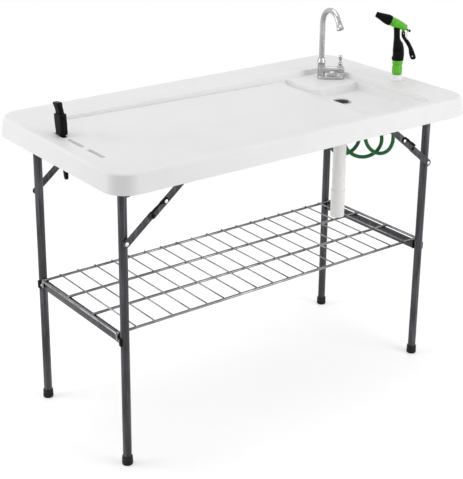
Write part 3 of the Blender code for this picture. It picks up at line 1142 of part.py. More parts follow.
def make_knife():
    """Models the knife and the sheath that stands leaning in the back slot of the left rim."""
    turn = (-radians(KNIFE_LEAN), 0, 0)
    lift = THROAT_FOOT_WIDTH / 2 * sin(radians(KNIFE_LEAN)) + 2 * CLEARANCE
    place = (SLOT_X + SCABBARD_SHIFT[0], HELD_SLOT_Y + SCABBARD_SHIFT[1], TABLE_HEIGHT + lift)
    throat_rings = [oval_ring(0, z, THROAT_DEPTH / 2 * d, w / 2, power=3.4, count=20) for z, w, d in (
        (-SCABBARD_LENGTH, SCABBARD_WIDTH * 0.35, 0.34), (-SCABBARD_LENGTH + 0.006, SCABBARD_WIDTH * 0.55, 0.42),
        (-SCABBARD_LENGTH * 0.7, SCABBARD_WIDTH * 0.80, SCABBARD_DEPTH / THROAT_DEPTH),
        (-0.001, SCABBARD_WIDTH, SCABBARD_DEPTH / THROAT_DEPTH), (0.0, THROAT_FOOT_WIDTH * 0.9, 0.94),
        (0.0035, THROAT_FOOT_WIDTH, 1.0), (THROAT_LENGTH * 0.55, THROAT_FOOT_WIDTH * 1.12, 1.0),
        (THROAT_LENGTH - 0.004, THROAT_TOP_WIDTH * 0.94, 1.0), (THROAT_LENGTH, THROAT_TOP_WIDTH * 0.9, 0.95))]
    sheath = loft("knife_sheath", throat_rings, place=place, turn=turn, material=BLACK)
    bump = turned("sheath_thumb_bump", [(0, 0.006), (0.0035, 0.0052), (0.0055, 0.001), (0.0055, -0.004), (0, -0.004)],
                  12)
    bump.parent = sheath
    bump.location = (0, -THROAT_TOP_WIDTH * 0.42, THROAT_LENGTH - 0.009)
    bump.rotation_euler = (pi / 2, 0, 0)
    handle_room = centred(HANDLE_DEPTH + 4 * CLEARANCE, HANDLE_WIDTH + 4 * CLEARANCE)
    cavity = block("handle_room", handle_room, handle_room, 0.004, THROAT_LENGTH + 0.01, corner=0.003)
    room_foot, room_head = -SCABBARD_LENGTH + 0.010, 0.010
    blade_cut = block("blade_room", blade_slot(room_foot), blade_slot(room_head), room_foot, room_head)
    for tool in (cavity, blade_cut):
        tool.parent = sheath
    cut(join(sheath, bump), cavity, blade_cut)
    handle_foot = 0.006
    handle_top = THROAT_LENGTH + HANDLE_SHOWN
    w, d = HANDLE_WIDTH / 2, HANDLE_DEPTH / 2
    handle_rings = [oval_ring(0, z, d * b, w * a, power=3.0, count=20, centre_y=y) for z, a, b, y in (
        (handle_foot, 0.90, 0.94, 0), (handle_foot + 0.003, 1.0, 1.0, 0), (THROAT_LENGTH + 0.001, 1.0, 1.0, 0),
        (THROAT_LENGTH + 0.010, 0.96, 1.0, 0.0014), (handle_top - 0.010, 1.0, 1.05, 0.0050),
        (handle_top - 0.004, 1.20, 1.10, 0.0075), (handle_top, 1.10, 0.96, 0.0082))]
    handle = loft("knife_handle", handle_rings, place=place, turn=turn, material=BLACK)
    tang_room = centred(BLADE_THICKNESS + 2 * CLEARANCE, HANDLE_WIDTH * 0.5 + 2 * CLEARANCE)
    tang_cut = block("tang_room", tang_room, tang_room, handle_foot - 0.01, handle_foot + 0.030)
    tang_cut.parent = handle
    cut(handle, tang_cut)
    tang, heel = HANDLE_WIDTH * 0.25, handle_foot - CLEARANCE
    tip_z = -SCABBARD_LENGTH + 0.014
    blade_outline = [(-tang, handle_foot + 0.029), (-tang, heel)]
    blade_outline += [(-blade_half(z), z) for z in (heel, tip_z * 0.4, tip_z * 0.7, tip_z * 0.88)]
    blade_outline += [(0.0006, tip_z)]
    blade_outline += [(blade_half(z), z) for z in (tip_z * 0.92, tip_z * 0.5, heel)]
    blade_outline += [(tang, heel), (tang, handle_foot + 0.029)]
    blade = plate("knife_blade", [blade_outline], BLADE_THICKNESS, turn=(pi / 2, 0, pi / 2), material=BLADE_STEEL)
    blade.data.transform(Matrix.Rotation(pi / 2, 4, "Z") @ Matrix.Rotation(pi / 2, 4, "X"))
    blade.location = place
    blade.rotation_euler = turn


def main():
    """Builds every sub-part in place."""
    make_tabletop()
    for face_name, face in FACES:
        make_rail(f"side_rail_{face_name}", face)
    for side_name, side in SIDES:
        make_leg_frame(f"leg_frame_{side_name}", side)
        make_crossbar(f"crossbar_{side_name}", side)
        for face_name, face in FACES:
            corner = f"{face_name}_{side_name}"
            make_foot(f"foot_cap_{corner}", side, face)
            make_lower_link(f"lower_link_{corner}", side, face)
            make_upper_link(f"upper_link_{corner}", side, face)
            make_catch(f"lock_catch_{corner}", side, face)
            make_saddle(f"saddle_{corner}", side, face)
    make_rack()
    make_drain()
    adapter_foot = make_tap()
    make_sprayer()
    make_coil_hose(adapter_foot)
    make_knife()


main()
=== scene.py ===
"""Looks of the folding sink table: smooth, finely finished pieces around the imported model."""

import json
import logging
from dataclasses import dataclass
from enum import Enum
from itertools import product
from math import atan2, cos, pi, radians, sin, sqrt
from typing import Callable, Sequence

import bpy
from mathutils import Matrix, Vector

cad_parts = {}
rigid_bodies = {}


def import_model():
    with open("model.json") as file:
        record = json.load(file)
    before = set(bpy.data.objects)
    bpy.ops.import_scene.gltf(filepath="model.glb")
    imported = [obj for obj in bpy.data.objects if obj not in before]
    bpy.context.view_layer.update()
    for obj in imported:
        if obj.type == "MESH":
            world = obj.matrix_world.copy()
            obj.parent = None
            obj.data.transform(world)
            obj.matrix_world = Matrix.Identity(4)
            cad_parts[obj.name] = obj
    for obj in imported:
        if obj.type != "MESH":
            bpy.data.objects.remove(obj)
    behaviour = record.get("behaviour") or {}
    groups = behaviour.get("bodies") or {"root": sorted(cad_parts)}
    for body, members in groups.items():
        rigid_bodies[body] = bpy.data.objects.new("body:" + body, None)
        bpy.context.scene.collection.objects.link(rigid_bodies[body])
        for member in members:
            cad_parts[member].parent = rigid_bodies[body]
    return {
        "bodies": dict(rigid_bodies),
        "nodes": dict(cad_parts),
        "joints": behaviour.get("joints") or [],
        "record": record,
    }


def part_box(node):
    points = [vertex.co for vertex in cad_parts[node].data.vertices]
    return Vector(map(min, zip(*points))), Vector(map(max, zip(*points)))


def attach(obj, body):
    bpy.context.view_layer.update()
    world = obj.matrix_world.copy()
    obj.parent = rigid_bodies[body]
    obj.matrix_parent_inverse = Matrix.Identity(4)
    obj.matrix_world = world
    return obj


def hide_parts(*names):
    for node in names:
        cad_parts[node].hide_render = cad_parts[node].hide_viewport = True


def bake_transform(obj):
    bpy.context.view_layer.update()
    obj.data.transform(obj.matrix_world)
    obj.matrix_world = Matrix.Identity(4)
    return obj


LOG = logging.getLogger("sink_table")
CLEARANCE = 0.0003
CUT_PAST = 0.01
LEG_RADIUS = 0.0112
DOME_FLAT = 0.12
MARKS_FADE = (0.8128, 0.8118)
CRISP, SMOOTH, ROUND = 30.0, 38.0, 50.0
UPRIGHT = Matrix.Rotation(pi / 2, 4, "X")
ALONG_Y = Matrix.Rotation(-pi / 2, 4, "X")
WHITE_LIGHT = (1.0, 1.0, 1.0, 1.0)
Point = tuple[float, float]
Point3 = tuple[float, float, float]
Area = tuple[float, float, float, float]
Piece = bpy.types.Object
Socket = bpy.types.NodeSocket


class Place(Enum):
    """A place on the table whose name is part of the names of nodes and joints."""

    @property
    def label(self) -> str:
        """Returns the name as nodes and joints write it."""
        return self.name.lower()


class Side(Place):
    """The two ends of the table, along X."""

    LEFT = -1
    RIGHT = 1


class Face(Place):
    """The two long edges of the table, along Y."""

    FRONT = -1
    BACK = 1
class Pattern(Enum):
    """The fine pattern that a finish carries besides its mottling."""

    PLAIN = "plain"
    KNIFE_MARKS = "knife_marks"
    # Lighter streaks along Z painted into the colour: painted reflections on round tubes.
    STREAKS = "streaks"
    SPANGLE = "spangle"
    BRUSHED = "brushed"
    PEBBLED = "pebbled"


@dataclass(frozen=True)
class Ring:
    """One level of a stacked form: its height, its two widths and its centre."""

    height: float
    width_x: float
    width_y: float
    centre_x: float = 0.0
    centre_y: float = 0.0


def quarter(steps: int, first: int = 0) -> list[Point]:
    """Steps through a quarter turn.

    Args:
        steps: The equal steps in it.
        first: The step to begin with.

    Returns:
        The sine and the cosine at each step.
    """
    angles = [pi / 2 * n / steps for n in range(first, steps + 1)]
    return [(sin(angle), cos(angle)) for angle in angles]


def rounded_top(level: float, widths: Point, edge: float, steps: int, centre_x: float = 0.0) -> list[Ring]:
    """Gives the rings of a form's rounded top edge.

    Args:
        level: The height of the top.
        widths: The form's two widths under the edge.
        edge: The edge's radius.
        steps: The steps in its arc.
        centre_x: The form's centre along X.

    Returns:
        The rings from the arc's foot to the top.
    """
    return [Ring(level - edge * (1 - sine), *(width - 2 * edge * (1 - cosine) for width in widths), centre_x)
            for sine, cosine in quarter(steps)]


def dome(radius: float, foot: float, rise: float, steps: int = 4) -> list[Point]:
    """Gives the profile of a shallow dome that ends a turned form.

    Args:
        radius: The radius at the dome's foot.
        foot: The height of its foot.
        rise: How high it rises.
        steps: The number of arcs in it.

    Returns:
        Pairs of radius and height.
    """
    arc = [(radius * cosine, foot + rise * sine) for sine, cosine in quarter(steps)[:-1]]
    return arc + [(radius * DOME_FLAT, foot + rise)]


def aimed(start: Vector, heading: Vector) -> Matrix:
    """Gives the place at which an upright form points along a heading."""
    return Matrix.Translation(start) @ heading.to_track_quat("Z", "Y").to_matrix().to_4x4()


def capsule(start: Point, end: Point, radius: float, steps: int = 12) -> list[Point]:
    """Gives the outline of a bar with round ends.

    Args:
        start: The centre of one round end.
        end: The centre of the other.
        radius: Half the bar's width.
        steps: The points on each half circle.

    Returns:
        The outline's points.
    """
    heading = atan2(end[1] - start[1], end[0] - start[0])
    outline = []
    for (x, y), first in ((end, heading - pi / 2), (start, heading + pi / 2)):
        for n in range(steps + 1):
            angle = first + pi * n / steps
            outline.append((x + radius * cos(angle), y + radius * sin(angle)))
    return outline


def disc(centre: Point, radius: float, steps: int = 24) -> list[Point]:
    """Gives a circle's points."""
    return [(centre[0] + radius * cos(2 * pi * n / steps), centre[1] + radius * sin(2 * pi * n / steps))
            for n in range(steps)]


class Bench:
    """The moves that model a piece as by hand, with Blender's own operators."""

    def clear(self) -> None:
        """Deselects everything."""
        if bpy.context.object and bpy.context.object.mode != "OBJECT":
            bpy.ops.object.mode_set(mode="OBJECT")
        bpy.ops.object.select_all(action="DESELECT")

    def pick(self, *objects: Piece) -> None:
        """Selects these objects and makes the first one active."""
        self.clear()
        for obj in objects:
            obj.select_set(True)
        bpy.context.view_layer.objects.active = objects[0]

    def stack(self, name: str, rings: Sequence[Ring], sides: int = 40, corner: float = 0.0,
              steps: int = 6) -> Piece:
        """Extrudes a circle or a round-cornered rectangle through a stack of rings.

        Args:
            name: The piece's name.
            rings: The levels from one end to the other.
            sides: The sides of a round form.
            corner: The corner radius of a rectangular form, or zero for a round one.
            steps: The segments in each corner.

        Returns:
            The closed form, at the origin.
        """
        self.clear()
        first = rings[0]
        level = (0.0, 0.0, first.height)
        if corner:
            bpy.ops.mesh.primitive_plane_add(size=1.0, location=level)
        else:
            bpy.ops.mesh.primitive_circle_add(vertices=sides, radius=0.5, fill_type="NGON", location=level)
        obj = bpy.context.object
        obj.name = name
        bpy.ops.object.mode_set(mode="EDIT")
        bpy.ops.mesh.select_all(action="SELECT")
        bpy.ops.transform.resize(value=(first.width_x, first.width_y, 1.0), center_override=level)
        bpy.ops.transform.translate(value=(first.centre_x, first.centre_y, 0.0))
        if corner:
            bpy.ops.mesh.bevel(offset=corner, segments=steps, affect="VERTICES")
            bpy.ops.mesh.select_all(action="SELECT")
        for below, ring in zip(rings, rings[1:]):
            step = (ring.centre_x - below.centre_x, ring.centre_y - below.centre_y,
                    ring.height - below.height)
            bpy.ops.mesh.extrude_region_move(TRANSFORM_OT_translate={"value": step})
            grow = (ring.width_x / below.width_x, ring.width_y / below.width_y, 1.0)
            bpy.ops.transform.resize(value=grow, center_override=(ring.centre_x, ring.centre_y, ring.height))
        self.settle(self.face_out(obj))
        return obj

    def face_out(self, obj: Piece, merge: float = 0.0) -> Piece:
        """Merges doubles where asked and turns every face outwards.

        Args:
            obj: The piece.
            merge: The distance under which points are merged, or zero.

        Returns:
            The piece, in object mode.
        """
        self.pick(obj)
        bpy.ops.object.mode_set(mode="EDIT")
        bpy.ops.mesh.select_all(action="SELECT")
        if merge:
            bpy.ops.mesh.remove_doubles(threshold=merge)
        bpy.ops.mesh.normals_make_consistent(inside=False)
        bpy.ops.object.mode_set(mode="OBJECT")
        return obj

    def plate(self, name: str, outlines: Sequence[Sequence[Point]], thickness: float,
              edge: float = 0.0004) -> Piece:
        """Makes a flat plate with softened edges from closed outlines, holes among them.

        Args:
            name: The piece's name.
            outlines: The outer outline and any holes, in X and Y.
            thickness: The plate's thickness, along Z and centred.
            edge: The radius of its softened edges.

        Returns:
            The plate, at the origin.
        """
        curve = bpy.data.curves.new(name, "CURVE")
        curve.dimensions = "2D"
        curve.fill_mode = "BOTH"
        curve.extrude = thickness / 2 - edge
        curve.bevel_depth = edge
        curve.bevel_resolution = 2
        curve.offset = -edge
        for outline in outlines:
            spline = curve.splines.new("POLY")
            spline.points.add(len(outline) - 1)
            for point, (x, y) in zip(spline.points, outline):
                point.co = (x, y, 0.0, 1.0)
            spline.use_cyclic_u = True
        return self.from_curve(name, curve)

    def tube(self, name: str, points: Sequence[Vector], radius: float, resolution: int = 6,
             smooth_steps: int = 0) -> Piece:
        """Sweeps a round section along points.

        Args:
            name: The piece's name.
            points: The centre line.
            radius: The tube's radius.
            resolution: The fineness of its section.
            smooth_steps: Where over zero, each span is split into that many on a smooth curve.

        Returns:
            The capped tube, at the origin.
        """
        line = smoothed(points, smooth_steps) if smooth_steps else list(points)
        curve = bpy.data.curves.new(name, "CURVE")
        curve.dimensions = "3D"
        curve.bevel_depth = radius
        curve.bevel_resolution = resolution
        curve.use_fill_caps = True
        spline = curve.splines.new("POLY")
        spline.points.add(len(line) - 1)
        for point, place in zip(spline.points, line):
            point.co = (*place, 1.0)
        return self.from_curve(name, curve)

    def from_curve(self, name: str, curve: bpy.types.Curve) -> Piece:
        """Turns a curve into a merged mesh object that faces outwards."""
        obj = bpy.data.objects.new(name, curve)
        bpy.context.scene.collection.objects.link(obj)
        self.pick(obj)
        bpy.ops.object.convert(target="MESH")
        return self.face_out(bpy.context.object, 1e-6)

    def block(self, name: str, low: Sequence[float], high: Sequence[float],
              edge: float = 0.0) -> Piece:
        """Adds a box between two corners and bevels its edges.

        Args:
            name: The piece's name.
            low: Its lowest corner.
            high: Its highest corner.
            edge: The radius of its edges, or zero.

        Returns:
            The box.
        """
        self.clear()
        middle = [(a + b) / 2 for a, b in zip(low, high)]
        bpy.ops.mesh.primitive_cube_add(size=1.0, location=middle, scale=[b - a for a, b in zip(low, high)])
        obj = bpy.context.object
        obj.name = name
        self.settle(obj)
        if edge:
            bpy.ops.object.mode_set(mode="EDIT")
            bpy.ops.mesh.select_all(action="SELECT")
            bpy.ops.mesh.bevel(offset=edge, segments=3, affect="EDGES")
            bpy.ops.object.mode_set(mode="OBJECT")
        return obj

    def lathe(self, name: str, profile: Sequence[Point], sides: int = 40) -> Piece:
        """Turns a round form.

        Args:
            name: The piece's name.
            profile: Pairs of radius and height, from one end to the other.
            sides: The sides of the form.

        Returns:
            The closed form, at the origin.
        """
        return self.stack(name, [Ring(height, 2 * radius, 2 * radius) for radius, height in profile], sides)

    def bore(self, radius: float, low: float, high: float, sides: int = 40) -> Piece:
        """Makes the cutter of a bore, which reaches past both of its ends."""
        return self.lathe("bore", [(radius, low - CUT_PAST), (radius, high + CUT_PAST)], sides)

    def rod(self, name: str, start: Vector, end: Vector, radius: float, sides: int = 24,
            edge: float = 0.0006) -> Piece:
        """Adds a round bar with chamfered ends between two points."""
        length = (end - start).length
        profile = [(radius - edge, 0.0), (radius, edge), (radius, length - edge), (radius - edge, length)]
        return self.put(self.lathe(name, profile, sides), aimed(start, end - start))

    def circle_of(self, count: int, make: Callable[[], Piece]) -> list[Piece]:
        """Makes a form a number of times, spread evenly about Z."""
        return [self.put(make(), Matrix.Rotation(2 * pi * n / count, 4, "Z")) for n in range(count)]

    def put(self, obj: Piece, place: Matrix) -> Piece:
        """Moves a piece to its place and applies it to the mesh."""
        obj.matrix_world = place @ obj.matrix_world
        self.settle(obj)
        return obj

    def settle(self, obj: Piece) -> None:
        """Applies an object's own place, turn and scale to its mesh."""
        self.pick(obj)
        bpy.ops.object.transform_apply(location=True, rotation=True, scale=True)

    def apply(self, obj: Piece) -> None:
        """Applies a piece's modifiers."""
        self.pick(obj)
        for modifier in list(obj.modifiers):
            bpy.ops.object.modifier_apply(modifier=modifier.name)

    def combine(self, obj: Piece, tools: Sequence[Piece],
                operation: str = "DIFFERENCE") -> Piece:
        """Cuts tools out of a piece, or welds them on, and removes them.

        Args:
            obj: The piece.
            tools: The closed forms to use on it.
            operation: DIFFERENCE or UNION.

        Returns:
            The changed piece.
        """
        for tool in tools:
            change = obj.modifiers.new(tool.name, "BOOLEAN")
            change.operation = operation
            change.solver = "MANIFOLD"
            change.object = tool
            self.apply(obj)
            bpy.data.objects.remove(tool)
        return obj

    def join(self, name: str, pieces: Sequence[Piece]) -> Piece:
        """Joins pieces into one object with a new name."""
        self.pick(*pieces)
        bpy.ops.object.join()
        joined = bpy.context.object
        joined.name = name
        return joined

    def copied(self, obj: Piece, name: str, place: Matrix) -> Piece:
        """Copies a piece with a mesh of its own and puts the copy in place."""
        copy = obj.copy()
        copy.data = obj.data.copy()
        copy.name = name
        bpy.context.scene.collection.objects.link(copy)
        return self.put(copy, place)

    def smooth(self, obj: Piece, angle: float = SMOOTH) -> Piece:
        """Shades a piece smooth, apart from edges sharper than the angle in degrees."""
        self.pick(obj)
        bpy.ops.object.shade_smooth_by_angle(angle=radians(angle))
        return obj


def smoothed(points: Sequence[Vector], steps: int) -> list[Vector]:
    """Puts more points on a smooth curve through a line's points.

    Args:
        points: The line's points.
        steps: How many spans replace each one.

    Returns:
        The finer line, with the given points on it.
    """
    line = [Vector(p) for p in points]
    ends = [2 * line[0] - line[1], *line, 2 * line[-1] - line[-2]]
    finer = []
    for before, start, end, after in zip(ends, ends[1:], ends[2:], ends[3:]):
        for n in range(steps):
            t = n / steps
            finer.append(0.5 * (2 * start + (end - before) * t
                                + (2 * before - 5 * start + 4 * end - after) * t ** 2
                                + (3 * start - before - 3 * end + after) * t ** 3))
    return finer + [line[-1]]


class Nodes:
    """The node tree of a material or a world that is being wired."""

    def __init__(self, tree: bpy.types.NodeTree) -> None:
        """Keeps the tree."""
        self.tree = tree

    def fill(self, node: bpy.types.Node, inputs: dict[str | int, object]) -> None:
        """Sets a node's inputs: a socket is linked, and anything else is the input's value."""
        for key, value in inputs.items():
            if isinstance(value, Socket):
                self.tree.links.new(value, node.inputs[key])
            else:
                node.inputs[key].default_value = value

    def add(self, kind: str, inputs: dict[str | int, object], output: str | int = 0,
            **settings: str) -> Socket:
        """Adds a node.

        Args:
            kind: Its type, without Blender's prefix.
            inputs: Its inputs, as fill takes them.
            output: The output that is wanted.
            settings: The options to set on it.

        Returns:
            That output.
        """
        node = self.tree.nodes.new(f"ShaderNode{kind}")
        for name, value in settings.items():
            setattr(node, name, value)
        self.fill(node, inputs)
        return node.outputs[output]

    def noise(self, vector: Socket, scale: float, detail: float) -> Socket:
        """Adds a noise texture and returns its factor."""
        return self.add("TexNoise", {"Scale": scale, "Detail": detail, "Vector": vector}, "Fac")

    def ranged(self, value: Socket, low: float, high: float, to_low: float = 0.0,
               to_high: float = 1.0) -> Socket:
        """Adds a clamped map range and returns its result."""
        limits = {"From Min": low, "From Max": high, "To Min": to_low, "To Max": to_high}
        return self.add("MapRange", {**limits, "Value": value})

    def scaled(self, vector: Socket, scale: Point3, turn: float = 0.0) -> Socket:
        """Adds a mapping with its own scale and turn about Z, and returns its vector."""
        return self.add("Mapping", {"Scale": scale, "Rotation": (0.0, 0.0, turn), "Vector": vector})

    def blended(self, factor: Socket, colour: Socket | Area, other: Point3) -> Socket:
        """Mixes a fixed colour over a colour by a factor."""
        return self.add("Mix", {"Factor": factor, 6: colour, 7: (*other, 1.0)}, 2, data_type="RGBA")

    def maths(self, operation: str, first: Socket, second: Socket | float) -> Socket:
        """Adds a maths node for two values and returns its result."""
        return self.add("Math", {0: first, 1: second}, operation=operation)


@dataclass(frozen=True)
class Finish:
    """A procedural finish: its colour, gloss, mottling, grain and pattern."""

    slot: str
    colour: Point3
    shade: Point3
    roughness: float
    spread: float = 0.05
    metallic: float = 0.0
    mottle_scale: float = 14.0
    stretch: Point3 = (1.0, 1.0, 1.0)
    grain_scale: float = 900.0
    grain: float = 0.08
    grain_height: float = 0.0004
    smudge_share: float = 3.7
    specular: float = 0.5
    pattern: Pattern = Pattern.PLAIN

    def build(self) -> bpy.types.Material:
        """Builds the finish's node tree once, or returns the material that it has built."""
        name = f"{self.slot}_{self.pattern.value}_{round(1000 * self.colour[1])}"
        return bpy.data.materials.get(name) or self.paint(bpy.data.materials.new(name))

    def paint(self, material: bpy.types.Material) -> bpy.types.Material:
        """Wires the nodes of the finish.

        Args:
            material: The empty material.

        Returns:
            The finished material.
        """
        material.use_nodes = True
        material.diffuse_color = (*self.colour, 1.0)
        nodes = Nodes(material.node_tree)
        coordinates = nodes.add("TexCoord", {}, "Object")
        stretched = nodes.scaled(coordinates, self.stretch)
        mottle = nodes.ranged(nodes.noise(stretched, self.mottle_scale, 5.0), 0.35, 0.68)
        smudge = nodes.noise(stretched, self.mottle_scale * self.smudge_share, 6.0)
        gloss = nodes.ranged(smudge, 0.3, 0.7, self.roughness - self.spread, self.roughness + self.spread)
        colour, height = self.patterned(nodes, coordinates,
                                        nodes.blended(mottle, (*self.colour, 1.0), self.shade),
                                        nodes.noise(coordinates, self.grain_scale, 2.0))
        bump = nodes.add("Bump", {"Strength": self.grain, "Distance": self.grain_height, "Height": height},
                         "Normal")
        nodes.fill(nodes.tree.nodes["Principled BSDF"], {
            "Base Color": colour, "Roughness": gloss, "Normal": bump, "Metallic": self.metallic,
            "Specular IOR Level": self.specular})
        return material

    def patterned(self, nodes: Nodes, coordinates: Socket, colour: Socket,
                  height: Socket) -> tuple[Socket, Socket]:
        """Lays the finish's pattern over its colour and grain.

        Args:
            nodes: The material's nodes.
            coordinates: The object coordinates.
            colour: The mottled colour.
            height: The fine grain.

        Returns:
            The patterned colour and height.
        """
        if self.pattern is Pattern.KNIFE_MARKS:
            cuts = [nodes.ranged(nodes.noise(nodes.scaled(coordinates, scale, turn), 1.0, 1.0), 0.70, 0.78)
                    for turn, scale in ((0.25, (5.0, 420.0, 5.0)), (1.9, (4.0, 380.0, 5.0)))]
            sunk = nodes.ranged(nodes.add("SeparateXYZ", {0: coordinates}, "Z"), *MARKS_FADE)
            marks = nodes.maths("MULTIPLY", nodes.maths("MAXIMUM", *cuts), sunk)
            colour = nodes.blended(nodes.maths("MULTIPLY", marks, 0.35), colour, self.shade)
            height = nodes.maths("SUBTRACT", height, marks)
        # Painted reflections: lighter bluish streaks along Z are mixed into the colour, like the reflection
        # streaks on round tubes.
        elif self.pattern is Pattern.STREAKS:
            streaks = nodes.noise(nodes.scaled(coordinates, (260.0, 260.0, 9.0)), 1.0, 3.0)
            colour = nodes.blended(nodes.ranged(streaks, 0.50, 0.72, 0.0, 0.45), colour, (0.21, 0.21, 0.25))
        elif self.pattern is Pattern.SPANGLE:
            cells = nodes.add("TexVoronoi", {"Scale": 420.0, "Vector": coordinates}, "Color")
            colour = nodes.blended(nodes.ranged(cells, 0.2, 0.9, 0.0, 0.5), colour, self.shade)
        elif self.pattern is Pattern.BRUSHED:
            height = nodes.noise(nodes.scaled(coordinates, (900.0, 900.0, 24.0)), 1.0, 2.0)
            colour = nodes.blended(nodes.ranged(height, 0.4, 0.7, 0.0, 0.5), colour, self.shade)
        elif self.pattern is Pattern.PEBBLED:
            cells = nodes.add("TexVoronoi", {"Scale": 1100.0, "Vector": coordinates}, "Distance",
                              feature="SMOOTH_F1")
            height = nodes.maths("ADD", height, cells)
        return colour, height


WHITE_POLYETHYLENE = Finish("white_polyethylene", (0.875, 0.875, 0.872), (0.845, 0.845, 0.842), 0.42, 0.07,
                            mottle_scale=7.0, grain_scale=1400.0, grain=0.10, specular=0.35,
                            pattern=Pattern.KNIFE_MARKS)
WHITE_PLAIN = Finish("white_polyethylene", (0.870, 0.870, 0.866), (0.830, 0.830, 0.826), 0.38, 0.06,
                     mottle_scale=60.0, grain_scale=1600.0, grain=0.08, specular=0.35)
PIPE_WHITE = Finish("white_pipe", (0.930, 0.915, 0.900), (0.890, 0.873, 0.855), 0.34, 0.06, mottle_scale=34.0,
                    stretch=(1.0, 1.0, 0.2), grain=0.06, specular=0.35)
# Its streak pattern paints lighter reflection streaks into the dark coat's colour.
POWDER_COAT = Finish("grey_powder_coat", (0.032, 0.032, 0.035), (0.060, 0.060, 0.066), 0.40, 0.10,
                     metallic=0.30, mottle_scale=46.0, stretch=(1.0, 1.0, 0.25), grain_scale=1500.0,
                     grain=0.22, specular=0.35, pattern=Pattern.STREAKS)
RUBBER = Finish("black_rubber", (0.009, 0.009, 0.009), (0.020, 0.020, 0.020), 0.66, 0.10, mottle_scale=80.0,
                grain_scale=1300.0, grain=0.25, specular=0.20)
BLACK_PLASTIC = Finish("black_plastic", (0.004, 0.004, 0.004), (0.009, 0.009, 0.009), 0.34, 0.08,
                       mottle_scale=70.0, grain=0.30, specular=0.05, pattern=Pattern.PEBBLED)
BRIGHT_ZINC = Finish("bright_zinc", (0.72, 0.73, 0.75), (0.50, 0.51, 0.54), 0.27, 0.07, metallic=1.0,
                     mottle_scale=120.0, grain=0.06, pattern=Pattern.SPANGLE)
DARK_STEEL = Finish("bright_zinc", (0.050, 0.051, 0.054), (0.085, 0.086, 0.090), 0.36, 0.08, metallic=0.8,
                    mottle_scale=160.0, grain=0.10)
CHROME = Finish("chrome", (0.50, 0.50, 0.51), (0.40, 0.40, 0.41), 0.09, 0.04, metallic=1.0, mottle_scale=40.0,
                grain=0.02)
# A darker copy of the chrome: its low colour is painted shade standing in for the darker reflections on the
# rack's rods.
SHADED_RACK_CHROME = Finish("chrome", (0.30, 0.30, 0.31), (0.17, 0.17, 0.18), 0.24, 0.06, metallic=1.0,
                     mottle_scale=26.0, grain=0.06)
BRIGHT_GREEN = Finish("bright_green_plastic", (0.115, 0.520, 0.024), (0.085, 0.430, 0.018), 0.28, 0.05,
                      mottle_scale=90.0, grain=0.08, specular=0.30)
HOSE_GREEN = Finish("green_hose", (0.024, 0.185, 0.058), (0.017, 0.140, 0.043), 0.26, 0.06, mottle_scale=38.0,
                    grain=0.06, specular=0.12)
BLADE_STEEL = Finish("blade_steel", (0.66, 0.67, 0.69), (0.52, 0.53, 0.55), 0.24, 0.06, metallic=1.0,
                     mottle_scale=60.0, grain=0.10, pattern=Pattern.BRUSHED)
SOFT_GREY = Finish("black_plastic", (0.24, 0.24, 0.24), (0.15, 0.15, 0.15), 0.42, 0.06, mottle_scale=140.0,
                   grain=0.12, pattern=Pattern.BRUSHED)


class Frame:
    """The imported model, read for the places and sizes of its nodes and joints."""

    def __init__(self, loaded: dict) -> None:
        self.nodes: dict[str, Piece] = loaded["nodes"]
        self.joints: dict[str, dict] = {joint["name"]: joint for joint in loaded["joints"]}

    def pivot(self, joint: str) -> Vector:
        """Returns a joint's place."""
        return Vector(self.joints[joint]["pos_m"])

    def low(self, node: str) -> Vector:
        """Returns a node's lowest corner."""
        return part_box(node)[0]

    def high(self, node: str) -> Vector:
        """Returns a node's highest corner."""
        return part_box(node)[1]

    def middle(self, node: str) -> Vector:
        """Returns the middle of a node's box."""
        low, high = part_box(node)
        return (low + high) / 2


@dataclass
class Assembly:
    """A sub-assembly at work on its bench, with the frame that it is fitted to."""

    bench: Bench
    frame: Frame

    def dress(self, obj: Piece, body: str, finish: Finish, *nodes: str,
              angle: float = SMOOTH) -> Piece:
        """Finishes a piece and fixes it to its body.

        Args:
            obj: The piece, in place.
            body: The body that it rides on.
            finish: Its finish.
            nodes: The nodes that it stands for.
            angle: The sharpest edge, in degrees, that is shaded smooth.

        Returns:
            The piece.
        """
        obj.data.materials.clear()
        obj.data.materials.append(finish.build())
        self.bench.smooth(obj, angle)
        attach(obj, body)
        if nodes:
            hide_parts(*nodes)
        LOG.info("%s rides on %s", obj.name, body)
        return obj

    def refinish(self, node: str, finish: Finish) -> None:
        """Gives a node that keeps its shape a better finish."""
        obj = self.frame.nodes[node]
        obj.data.materials.clear()
        obj.data.materials.append(finish.build())
        LOG.info("%s keeps its shape", node)


